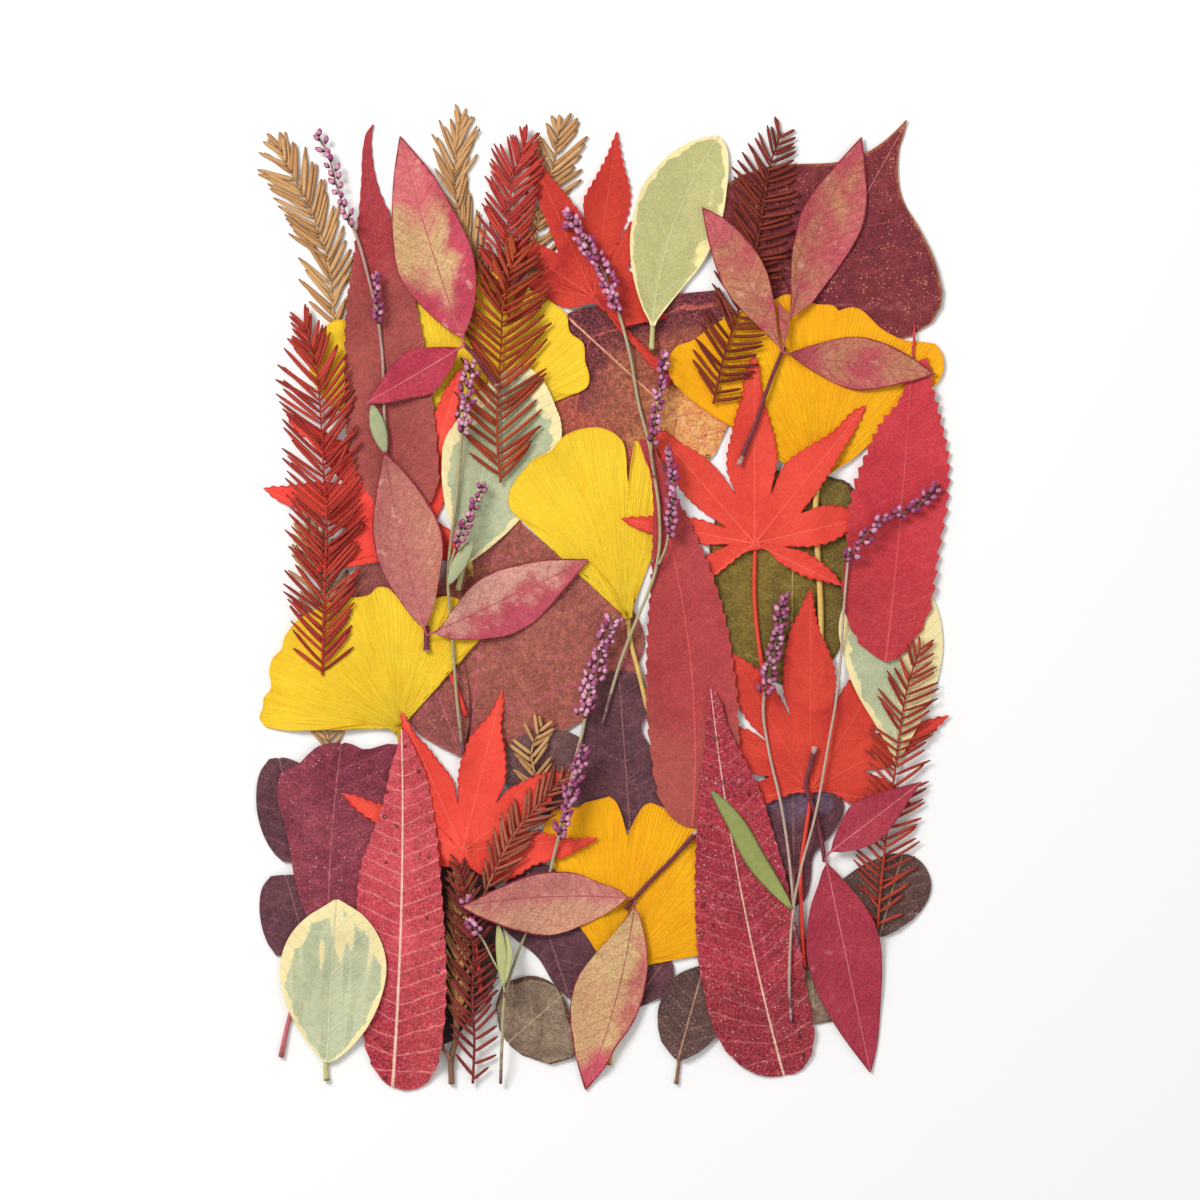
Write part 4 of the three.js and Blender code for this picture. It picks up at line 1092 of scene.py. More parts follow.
    def _veined(self, nodes: Nodes, leaf: object, place: object, pitch: float,
                colour: object) -> tuple[object, object]:
        """Lays the net, the side veins and the midrib over the colour; also returns their relief."""
        veins = place_effect(nodes, Effect.VEINS, {
            "Leaf": leaf, "Place": place, "Pitch": pitch, "Midrib": self.midrib_width})
        colour = nodes.mix(nodes.times(veins["Net"], self.net_strength), colour, linear(self.vein))
        colour = nodes.mix(nodes.times(veins["Veins"], self.vein_strength), colour,
                           linear(self.vein))
        colour = nodes.mix(nodes.times(veins["Midrib"], 0.9), colour, linear(self.midrib))
        height = nodes.plus(veins["Midrib"], nodes.times(veins["Veins"], 0.7))
        return colour, nodes.plus(height, nodes.times(veins["Net"], 0.35))

    def _fan(self, nodes: Nodes, leaf: object, colour: object) -> tuple[object, object]:
        """Lays a fan's ridges over the colour; also returns their relief."""
        ridges = place_effect(nodes, Effect.RIDGES, {"Leaf": leaf})
        colour = nodes.mix(nodes.times(ridges["Streaks"], 0.3), colour, linear(self.mottle))
        colour = nodes.mix(nodes.times(ridges["Ridges"], self.vein_strength), colour,
                           linear(self.vein))
        return colour, nodes.times(ridges["Ridges"], 1.5)


@dataclass(frozen=True)
class RodFinish:
    """The colours of stalks, needles or buds, which differ from one to the next.

    Args:
        name: the finish's name.
        pale: the colour of the palest ones.
        deep: the colour of the deepest ones.
        tip: the colour at the far end.
        tip_start: where along its length the tip's colour starts, from 0 to 1.
        root: the colour at the near end.
        root_end: where along its length the near end's colour is gone.
        roughness: the surface's roughness.
    """

    name: str
    pale: Colour
    deep: Colour
    tip: Colour
    tip_start: float = 0.7
    root: Colour = (120, 60, 90)
    root_end: float = 0.0
    roughness: float = 0.65

    def material(self) -> bpy.types.Material:
        """Makes the finish."""
        material, nodes, shader = new_material(self.name, self.roughness)
        place = nodes.place()
        share = nodes.attribute("share")
        streaks = nodes.sway(place, 1.6, 0.9)
        depth = nodes.plus(nodes.attribute("tone"), streaks)
        colour = nodes.mix(depth, linear(self.pale), linear(self.deep))
        end = nodes.fade(nodes.plus(share, nodes.times(streaks, 0.25)), self.tip_start, 1.0)
        colour = nodes.mix(end, colour, linear(self.tip))
        if self.root_end:
            near = nodes.fade(share, self.root_end, self.root_end * 0.4)
            colour = nodes.mix(near, colour, linear(self.root))
        nodes.tree.links.new(colour, shader.inputs["Base Color"])
        nodes.tree.links.new(nodes.relief(nodes.noise(place, 0.5), 0.08, 0.6), shader.inputs["Normal"])
        return material


# ------------------------------------------------------------------ pieces

def lifted(line: np.ndarray, heights: np.ndarray) -> np.ndarray:
    """Returns flat points with their heights."""
    return np.concatenate([line, heights[:, None]], axis=-1)


@dataclass
class Petiole:
    """A leaf's own stalk.

    Args:
        line: its course, from the blade outwards.
        finish: its colours.
        width: its width.
    """

    line: Sequence[Point]
    finish: RodFinish
    width: float = 1.2

    FOOT = 1.3
    FLATNESS = 0.85

    def build(self, name: str, node: str, slot: str) -> None:
        """Lays the stalk on the pile as a piece of its own."""
        course = resample(self.line, 1.0)
        t = np.linspace(0, 1, len(course))
        half = self.width / 2 * (1 + (self.FOOT - 1) * np.clip((t - 0.75) / 0.25, 0, 1))
        high = half * self.FLATNESS
        heights = PILE.lay(course, 4) + high
        PILE.cover(course, heights + high)
        mesh = bmesh.new()
        bar(mesh, lifted(course, heights), half, high, 10)
        close_shells(mesh)
        write_piece(name, mesh, self.finish.material(), node)


@dataclass
class Leaf:
    """One leaf of the bunch: a blade, or leaflets on one stalk.

    Args:
        node: the frame's node, which also names its pieces.
        slot: the record's slot.
        parts: each blade's shape and finish.
        petiole: its stalk, if it shows.
    """

    node: str
    slot: str
    parts: Sequence[tuple[Blade | Fan | Star, LeafFinish]]
    petiole: Petiole | None = None

    def build(self) -> None:
        """Lays the stalk, then the blades."""
        outline = Outline(self.node)
        if self.petiole:
            self.petiole.build(f"{self.node}_petiole", self.node, self.slot)
        for count, (shape, finish) in enumerate(self.parts, 1):
            name = f"{self.node}_blade" if len(self.parts) == 1 else f"{self.node}_leaflet_{count}"
            pitch = getattr(shape, "vein_pitch", 6.0)
            shape.sheet(outline).lay(name, finish.material(pitch), self.node, self.slot)


@dataclass
class Side:
    """One side of a needle sprig.

    Args:
        length: the needles' length.
        lean: their angle to the stalk, in degrees.
    """

    length: float
    lean: float = 48.0


@dataclass
class Sprig:
    """A conifer sprig: flat needles in two rows along a stalk.

    Args:
        node: the frame's node, which also names its pieces.
        slot: the record's slot.
        stalk: the stalk's course, root to apex.
        left: the needles on its left, seen from root to apex.
        right: those on its right.
        finish: the needles' colours.
        pitch: the distance between needles on one side.
        width: a needle's width.
        stalk_width: the stalk's width.
        sparse: how much further apart the needles stand at the root.
        twigs: bare twigs that go with it, each a course and a width.
    """

    node: str
    slot: str
    stalk: Sequence[Point]
    left: Side
    right: Side
    finish: RodFinish
    pitch: float = 2.5
    width: float = 1.3
    stalk_width: float = 0.9
    sparse: float = 0.3
    twigs: Sequence[tuple[Sequence[Point], float]] = ()

    NEEDLE_POINTS = 7
    FORWARD_BEND = 0.06
    SAG = (8, 3)
    DEPTH = 0.9

    def _needles(self, course: np.ndarray) -> list[np.ndarray]:
        """Returns each needle's course from above."""
        found = []
        run = np.cumsum(np.linalg.norm(np.diff(course, axis=0, prepend=course[:1]), axis=1))
        ahead = unit(np.gradient(course, axis=0))
        for side, sign in ((self.left, 1), (self.right, -1)):
            place = self.pitch * (0.6 if sign > 0 else 0.2)
            while place < run[-1]:
                t = place / run[-1]
                k = int(np.searchsorted(run, place).clip(0, len(course) - 1))
                taper = min(1.0, 0.72 + t * 2.2, 0.42 + (1 - t) * 2.4)
                length = side.length * taper * RNG.uniform(0.86, 1.08)
                lean = math.radians(side.lean * (1 - 0.45 * max(0, t - 0.75) / 0.25) + RNG.normal(0, 5))
                out = ahead[k] * math.cos(lean) + left_of(ahead[k]) * sign * math.sin(lean)
                s = np.linspace(0, 1, self.NEEDLE_POINTS)[:, None]
                bend = RNG.normal(0.0, 0.05) + self.FORWARD_BEND
                curve = ahead[k] * bend * length * (s**2 - s * 0.3)
                found.append(course[k] + out * s * length + curve)
                place += self.pitch * RNG.uniform(0.78, 1.22) * (1 + self.sparse * max(0, 0.25 - t) / 0.25)
        return found

    def build(self) -> None:
        """Lays the whole sprig as one piece."""
        mesh = bmesh.new()
        course = resample(self.stalk, 1.2)
        needles = self._needles(course)
        heights = PILE.lay(np.concatenate([course, *needles]), *self.SAG)
        base, heights = heights[:len(course)], heights[len(course):]
        t = np.linspace(0, 1, len(course))
        half = self.stalk_width / 2 * (1.05 - 0.5 * t)
        bar(mesh, lifted(course, base + half), half, half, 7, 0.15)
        for line in needles:
            lift = RNG.uniform(0.15, 0.75) + np.linspace(0.3, 0, len(line))
            place = lifted(line, heights[:len(line)] + lift)
            heights = heights[len(line):]
            s = np.linspace(0, 1, len(line))
            half = self.width / 2 * np.minimum(1, 0.4 + s * 4) * np.clip((1.03 - s) * 4.5, 0, 1) ** 0.5
            bar(mesh, place, half * RNG.uniform(0.9, 1.15), 0.12 + half * 0.1, 5, RNG.uniform(0, 1))
        PILE.cover(course, base + self.stalk_width)
        flat = np.concatenate(needles)
        PILE.cover(flat, PILE.lay(flat, *self.SAG) + self.DEPTH)
        close_shells(mesh)
        write_piece(f"{self.node}_needles", mesh, self.finish.material(), self.node)
        for count, (line, width) in enumerate(self.twigs, 1):
            Petiole(line, BROWN_PETIOLE, width).build(f"{self.node}_twig_{count}", self.node, self.slot)


@dataclass
class Spike:
    """A spike of small buds.

    Args:
        axis: its course, tip to root.
        width: its width.
        dark: how deep its colour is, from 0 to 1.
        density: the buds on each millimetre.
    """

    axis: Sequence[Point]
    width: float
    dark: float = 0.5
    density: float = 1.9


@dataclass
class FlowerStem:
    """A stem with spikes of small purple flowers.

    Args:
        node: the frame's node, which also names its pieces.
        spikes: the spikes.
        stems: each stem's course and width.
        leaves: small leaves, each a course and a width.
        stem_finish: the stems' colours.
        leaf_finish: the small leaves' colours.
    """

    node: str
    spikes: Sequence[Spike]
    stems: Sequence[tuple[Sequence[Point], float]]
    leaves: Sequence[tuple[Sequence[Point], float]]
    stem_finish: RodFinish
    leaf_finish: RodFinish

    SLOT = "flower_purple"
    AXIS_WIDTH = 0.8
    STEM_ROUNDNESS = 0.9
    LEAF_ROUNDNESS = 0.12

    def build(self) -> None:
        """Lays the stems, the small leaves and the flowers."""
        axes = [(spike.axis, self.AXIS_WIDTH) for spike in self.spikes]
        self._rods("stem", [*self.stems, *axes], self.stem_finish, self.STEM_ROUNDNESS)
        if self.leaves:
            self._rods("leaf", self.leaves, self.leaf_finish, self.LEAF_ROUNDNESS)
        self._flowers()

    def _rods(self, part: str, rods: Sequence[tuple[Sequence[Point], float]], finish: RodFinish,
              roundness: float) -> None:
        """Lays stems or small leaves as one piece."""
        mesh = bmesh.new()
        for line, width in rods:
            course = resample(line, 1.2)
            s = np.linspace(0, 1, len(course))
            half = np.full(len(course), width * 0.4)
            if roundness == self.LEAF_ROUNDNESS:
                half = width / 2 * np.sin(math.pi * np.clip(s * 0.94 + 0.03, 0, 1)) ** 0.8
            high = np.maximum(half * roundness, 0.12)
            heights = PILE.lay(course, 6) + high
            PILE.cover(course, heights + high)
            bar(mesh, lifted(course, heights), half, high, 8, RNG.uniform(0.2, 0.8))
        close_shells(mesh)
        write_piece(f"{self.node}_{part}", mesh, finish.material(), self.node)

    def _flowers(self) -> None:
        """Lays every spike's buds as one piece, left and right of the axis by turns."""
        mesh = bmesh.new()
        for spike in self.spikes:
            course = resample(spike.axis, 0.5)[::-1]
            ahead = unit(np.gradient(course, axis=0))
            length = np.linalg.norm(np.diff(course, axis=0), axis=1).sum()
            count = int(length * spike.density)
            base = PILE.lay(course, 4)
            for k in range(count):
                t = (k + RNG.uniform(0.1, 0.9)) / count
                i = int(t * (len(course) - 1))
                reach = max(0.2, spike.width / 2 - 1.5) * math.sin(math.pi * min(1, 0.22 + t * 0.7)) ** 0.5
                swing = (1 if k % 2 else -1) * RNG.uniform(0.1, 1.05)
                rise = RNG.uniform(0.5, 1.0) + (1 - abs(swing)) * spike.width * 0.2
                out = unit(ahead[i] * RNG.uniform(0.6, 1.1) + left_of(ahead[i]) * swing * 0.8)
                foot = course[i] + left_of(ahead[i]) * swing * reach * 0.8 - ahead[i] * 1.2
                self._floret(mesh, foot, out, base[i] + rise, spike.dark)
            PILE.cover(course, base + spike.width * 0.5)
        close_shells(mesh)
        write_piece(f"{self.node}_flowers", mesh, FLOWERS.material(), self.node)

    def _floret(self, mesh: bmesh.types.BMesh, foot: np.ndarray, out: np.ndarray, height: float,
                dark: float) -> None:
        """Adds one small bud: a pale middle between two purple petals."""
        length = RNG.uniform(1.9, 3.1)
        s = np.linspace(0, 1, 5)
        tone = float(np.clip(dark + RNG.normal(0, 0.35), 0, 1))
        rise = height + s * RNG.uniform(-0.1, 0.5)
        swell = np.array([0.2, 0.56, 0.76, 0.64, 0.18]) * RNG.uniform(0.8, 1.2)
        bar(mesh, lifted(foot + out * s[:, None] * length, rise), swell, swell * 0.8, 7, tone)
        for sign in (-1, 1):
            bulge = left_of(out) * sign * (0.44 * np.sin(math.pi * s))[:, None]
            petal = foot + out * s[:, None] * length * RNG.uniform(0.9, 1.15) + bulge
            bar(mesh, lifted(petal, rise - 0.08), swell * 0.55, swell * 0.55, 6,
                float(np.clip(tone + 0.7, 0, 1)))


# ------------------------------------------------------------------ the finishes of this bunch

FLOWERS = RodFinish("small_flowers", (220, 164, 186), (142, 62, 104), (170, 60, 116), 0.7,
                    (76, 40, 56), 0.45, 0.8)
RED_PETIOLE = RodFinish("red_petiole", (240, 84, 62), (210, 56, 46), (190, 56, 46), 0.9)
PURPLE_PETIOLE = RodFinish("purple_petiole", (136, 66, 74), (90, 42, 54), (196, 160, 150), 0.93)
GINKGO_PETIOLE = RodFinish("ginkgo_petiole", (232, 196, 112), (200, 156, 84), (150, 100, 50), 0.93)
GREEN_PETIOLE = RodFinish("pale_petiole", (206, 198, 142), (176, 164, 110), (128, 96, 60), 0.85)
PINK_PETIOLE = RodFinish("pink_petiole", (206, 128, 128), (170, 84, 90), (150, 80, 80), 0.9)
BROWN_PETIOLE = RodFinish("brown_twig", (156, 116, 88), (104, 72, 58), (120, 86, 66), 0.85)
GREEN_STEM = RodFinish("green_stem", (190, 180, 142), (152, 138, 106), (120, 74, 88), 0.88)
PURPLE_STEM = RodFinish("purple_stem", (200, 178, 158), (150, 112, 108), (120, 70, 86), 0.88)
SMALL_LEAF = RodFinish("small_pale_leaf", (196, 192, 132), (164, 170, 112), (170, 150, 104), 0.8)
GREY_LEAF = RodFinish("small_grey_leaf", (178, 180, 138), (144, 152, 116), (150, 140, 110), 0.85)
GREEN_LEAF = RodFinish("small_green_leaf", (164, 172, 100), (136, 142, 80), (120, 140, 84), 0.85)

YELLOW = LeafFinish("ginkgo_yellow", (246, 208, 54), (242, 196, 40), vein=(232, 182, 30),
                    vein_strength=0.25, rim=(236, 186, 32), rim_width=0.6, fan=True, relief=0.12, grain=0.08)
AMBER = replace(YELLOW, name="ginkgo_amber", ground=(250, 182, 20), mottle=(246, 166, 14),
                vein=(236, 156, 12), rim=(238, 160, 16))
MAPLE = LeafFinish("maple_scarlet", (232, 76, 60), (222, 60, 50), vein=(238, 94, 76), vein_strength=0.14,
                   net_strength=0.12, midrib=(240, 96, 78), midrib_width=0.45, rim=(196, 46, 42),
                   rim_width=0.45, grain=0.12)
MAPLE_WARM = replace(MAPLE, name="maple_warm", ground=(226, 74, 58), mottle=(214, 60, 50))
MAPLE_DEEP = replace(MAPLE, name="maple_deep", ground=(212, 68, 52), mottle=(196, 54, 46),
                     midrib=(222, 80, 62), vein=(220, 78, 60))
MAPLE_CRIMSON = replace(MAPLE, name="maple_crimson", ground=(200, 60, 46), mottle=(180, 46, 42),
                        midrib=(214, 76, 60), vein=(212, 74, 58))
MAPLE_BRIGHT = replace(MAPLE, name="maple_bright", ground=(242, 78, 64), mottle=(230, 62, 54))
# The pale sheen colours in these sumac finishes are painted sheen, which stands in for the leaves' pinkish shine.
SUMAC = LeafFinish("sumac_crimson", (200, 72, 84), (176, 46, 66), 0.07, vein=(228, 142, 134),
                   vein_strength=0.55, net_strength=0.22, midrib=(238, 200, 176), midrib_width=0.85,
                   specks=(236, 190, 182), speck_density=1.25, speck_share=0.55, ring_density=0.3,
                   rings=(70, 26, 30), ring_core=(178, 104, 84), ring_share=0.4, grain=0.24,
                   painted_sheen=(214, 112, 116), painted_sheen_share=0.3)
SUMAC_BROWN = replace(SUMAC, name="sumac_brownish", ground=(158, 76, 68), mottle=(142, 62, 62),
                      blends=(Blend((160, 50, 58), 62, 84),), midrib=(172, 78, 76), vein_strength=0.22,
                      vein=(190, 96, 90), midrib_width=0.5, ring_share=0.0, speck_share=0.25,
                      specks=(198, 130, 118), painted_sheen_share=0.0, grain=0.14)
SUMAC_ROSE = replace(SUMAC, name="sumac_rose", ground=(176, 65, 65), mottle=(164, 56, 62), ring_share=0.0,
                     midrib=(214, 86, 84), midrib_width=0.6, vein=(200, 86, 86), vein_strength=0.2,
                     blends=(Blend((170, 84, 74), 40, 8),), speck_share=0.2, painted_sheen_share=0.0, grain=0.13)
SUMAC_DEEP = replace(SUMAC, name="sumac_deep", ground=(164, 44, 60), mottle=(140, 38, 56),
                     midrib=(230, 186, 168), midrib_width=0.65, speck_share=0.75, speck_density=1.15,
                     ring_share=0.55, ring_core=(160, 100, 62), vein=(206, 122, 122), vein_strength=0.38,
                     blends=(Blend((136, 38, 50), 36, 12, strength=0.8),),
                     painted_sheen=(190, 98, 108), painted_sheen_share=0.25, grain=0.3)
SUMAC_BRIGHT = replace(SUMAC, name="sumac_bright", ground=(198, 56, 64), mottle=(184, 46, 60),
                       ring_share=0.0, midrib=(214, 84, 86), midrib_width=0.55, vein=(214, 92, 92),
                       vein_strength=0.2, speck_share=0.15, painted_sheen_share=0.0, grain=0.12,
                       blends=(Blend((178, 54, 60), 42, 10, strength=0.8),))
HEART = LeafFinish("heart_leaf", (122, 48, 52), (106, 37, 48), vein=(160, 84, 88), vein_strength=0.35,
                   midrib=(182, 108, 104), midrib_width=0.45, specks=(206, 128, 104), speck_share=0.95,
                   speck_density=1.1, rim=(150, 84, 56), rim_width=0.7, roughness=0.55, grain=0.28)
LOBED = LeafFinish("lobed_brown", (104, 46, 56), (80, 36, 50), 0.08, vein=(196, 96, 80),
                   vein_strength=0.6, net_strength=0.32, midrib=(228, 160, 130), midrib_width=0.6,
                   blends=(Blend((152, 88, 66), 8, 24), Blend((222, 158, 94), 28, 42),
                           Blend((164, 82, 66), -12, -18, across=True)),
                   ring_density=0.22, ring_share=0.4, ring_core=(206, 170, 80), rings=(110, 64, 44),
                   specks=(222, 168, 110), speck_density=1.1, speck_share=0.6, grain=0.36,
                   mottle_strength=0.7)
BROWN = LeafFinish("dried_brown", (160, 92, 76), (138, 74, 64), 0.07, vein=(178, 84, 102),
                   vein_strength=0.8, net_strength=0.2, midrib=(182, 92, 106), midrib_width=0.6,
                   specks=(206, 150, 100), speck_density=1.2, speck_share=0.75, roughness=0.7, grain=0.26)
BROWN_DULL = replace(BROWN, name="dried_brown_dull", ground=(150, 86, 74), mottle=(124, 66, 64))
OLIVE = LeafFinish("dried_olive", (122, 100, 44), (98, 80, 40), vein=(166, 148, 84), vein_strength=0.28,
                   midrib=(176, 152, 96), midrib_width=0.5, rim=(84, 54, 34), rim_width=1.0, roughness=0.7,
                   grain=0.25)
GREY = replace(OLIVE, name="dried_grey", ground=(144, 120, 100), mottle=(98, 76, 66), vein=(168, 146, 122),
               midrib=(168, 146, 118), mottle_density=0.12, vein_strength=0.25)
DARK = LeafFinish("dried_purple", (100, 61, 67), (80, 46, 55), vein=(134, 88, 92), vein_strength=0.35,
                  midrib=(140, 92, 92), midrib_width=0.5, specks=(176, 130, 126), speck_density=1.3,
                  speck_share=0.55, roughness=0.6, grain=0.28)
DARK_BROWN = replace(DARK, name="dried_dark_brown", ground=(70, 54, 48), mottle=(54, 40, 40))
SPECKLED = replace(DARK, name="speckled_brown", ground=(92, 66, 62), mottle=(70, 50, 50), speck_share=0.9,
                   specks=(170, 138, 120), midrib=(176, 140, 112), vein=(146, 112, 94))
DUSTY = replace(DARK, name="dried_dusty", ground=(114, 82, 80), mottle=(92, 62, 64))
PURPLE = LeafFinish("purple_speckled", (138, 60, 72), (112, 42, 58), vein=(164, 86, 94),
                    vein_strength=0.4, midrib=(172, 96, 100), midrib_width=0.5, specks=(216, 170, 168),
                    speck_share=0.7, speck_density=1.15, grain=0.3)
SAGE = LeafFinish("sage_cream", (190, 192, 154), (168, 178, 142), 0.12, vein=(200, 204, 166),
                  vein_strength=0.35, midrib=(206, 206, 166), midrib_width=0.5, rim=(242, 224, 166),
                  rim_width=3.4, net_strength=0.14, roughness=0.58, mottle_strength=0.8, grain=0.08)
SAGE_WIDE = replace(SAGE, name="sage_cream_wide", rim_width=3.6,
                    blends=(Blend((242, 224, 166), -1, -4, across=True),))
SAGE_STREAKED = replace(SAGE, name="sage_cream_streaked", streak_share=0.45, rim_width=2.8)
PALE = replace(SAGE, name="pale_green", ground=(188, 182, 122), mottle=(178, 174, 114), rim_width=1.2,
               midrib=(202, 198, 144), blends=(Blend((236, 222, 150), -9, -12, across=True),))
# The pale sheen colours in these leaflet finishes are painted sheen, which stands in for the leaflets' satin
# shine.
CRIMSON = LeafFinish("leaflet_crimson", (166, 52, 68), (150, 38, 60), 0.09, vein=(198, 100, 110),
                     vein_strength=0.16, midrib=(204, 112, 118), midrib_width=0.4, net_strength=0.16,
                     rim=(136, 44, 56), rim_width=0.35, roughness=0.5, relief=0.1, grain=0.14,
                     specks=(226, 176, 176), speck_density=1.1, speck_share=0.2,
                     painted_sheen=(202, 104, 118), painted_sheen_share=0.2)
ROSE = replace(CRIMSON, name="leaflet_rose", ground=(190, 112, 102), mottle=(184, 78, 92),
               vein=(166, 68, 78), midrib=(178, 92, 92), net_strength=0.3, vein_strength=0.25,
               mottle_strength=0.7, speck_share=0.2, painted_sheen=(214, 156, 138), painted_sheen_share=0.35, grain=0.16)
SPRAY = replace(ROSE, name="leaflet_spray", ground=(184, 124, 92), mottle=(184, 72, 88), mottle_density=0.09,
                mottle_strength=0.85, vein=(156, 60, 66), vein_strength=0.4, painted_sheen=(212, 154, 132))
CHERRY = replace(CRIMSON, name="leaflet_cherry", ground=(182, 55, 74), mottle=(166, 42, 66))
BUFF = replace(ROSE, name="leaflet_buff", ground=(208, 176, 122), mottle=(200, 146, 112),
               mottle_strength=0.5, painted_sheen_share=0.3)


def leaflet(finish: LeafFinish, name: str, *blends: Blend) -> LeafFinish:
    """Returns a leaflet's own finish: a base finish with colours that take over parts of it."""
    return replace(finish, name=name, blends=blends)


# ------------------------------------------------------------------ the bunch, lowest first

def needles(name: str, pale: Colour, deep: Colour, tip: Colour) -> RodFinish:
    """Returns a needle finish."""
    return RodFinish(name, pale, deep, tip, 0.8, roughness=0.7)


TAN = needles("tan_needles", (202, 156, 106), (172, 124, 80), (150, 106, 68))
GOLD = needles("golden_needles", (214, 164, 102), (182, 130, 78), (156, 108, 64))
BRICK = needles("brick_needles", (182, 64, 50), (140, 42, 36), (120, 42, 38))
RUST = needles("rust_needles", (170, 70, 40), (134, 50, 32), (116, 44, 32))
RUSSET = needles("russet_needles", (178, 70, 52), (142, 50, 40), (122, 44, 38))
SCARLET = needles("scarlet_needles", (190, 68, 56), (146, 42, 40), (120, 38, 38))
WINE = needles("wine_needles", (142, 58, 50), (108, 42, 40), (94, 36, 38))
UMBER = needles("umber_needles", (136, 58, 42), (104, 38, 30), (92, 34, 28))
ASHEN = needles("ashen_rust_needles", (172, 98, 76), (132, 62, 48), (112, 52, 46))


def small_blade(base: Point, tip: Point, bow: float, pinch: float, open_base: float = 75,
                slant: float = 46) -> Blade:
    """Returns the blade of a leaflet, narrow at its base, with close side veins."""
    return Blade(base, tip, bow, slant=slant, open_base=open_base, vein_pitch=4, pinch=pinch)


def dark_leaf(where: str, base: Point, tip: Point, open_base: float, finish: LeafFinish = DARK) -> Leaf:
    """Returns a dried purple leaf, which may widen at once at its base."""
    return Leaf(f"dark_leaf_{where}", "dried_purple", [(Blade(base, tip, open_base=open_base), finish)])


def ginkgo(where: str, finish: LeafFinish, base: Point, stalk_side: float, stalk: Sequence[Point],
           width: float) -> Leaf:
    """Returns a ginkgo leaf, yellow or amber, on its stalk."""
    slot = "ginkgo_yellow" if finish is YELLOW else "ginkgo_orange"
    return Leaf(f"ginkgo_{where}", slot, [(Fan(base, stalk_side), finish)],
                Petiole(stalk, GINKGO_PETIOLE, width))


def maple(where: str, finish: LeafFinish, centre: Point, stalk_side: float, stalk: Sequence[Point]) -> Leaf:
    """Returns a maple leaf on its red stalk."""
    return Leaf(f"maple_{where}", "maple_red", [(Star(centre, stalk_side), finish)],
                Petiole(stalk, RED_PETIOLE))


def sumac(where: str, finish: LeafFinish, teeth: Teeth, base: Point, tip: Point, **shape: object) -> Leaf:
    """Returns a long toothed sumac leaf; the shape is what Blade takes."""
    return Leaf(f"sumac_{where}", "sumac_crimson", [(Blade(base, tip, teeth=teeth, **shape), finish)])


def nandina(where: str, parts: Sequence[tuple[Blade, LeafFinish]], stalk: Sequence[Point],
            width: float) -> Leaf:
    """Returns smooth-edged leaflets on one purple stalk."""
    return Leaf(f"nandina_{where}", "nandina_pink", parts, Petiole(stalk, PURPLE_PETIOLE, width))


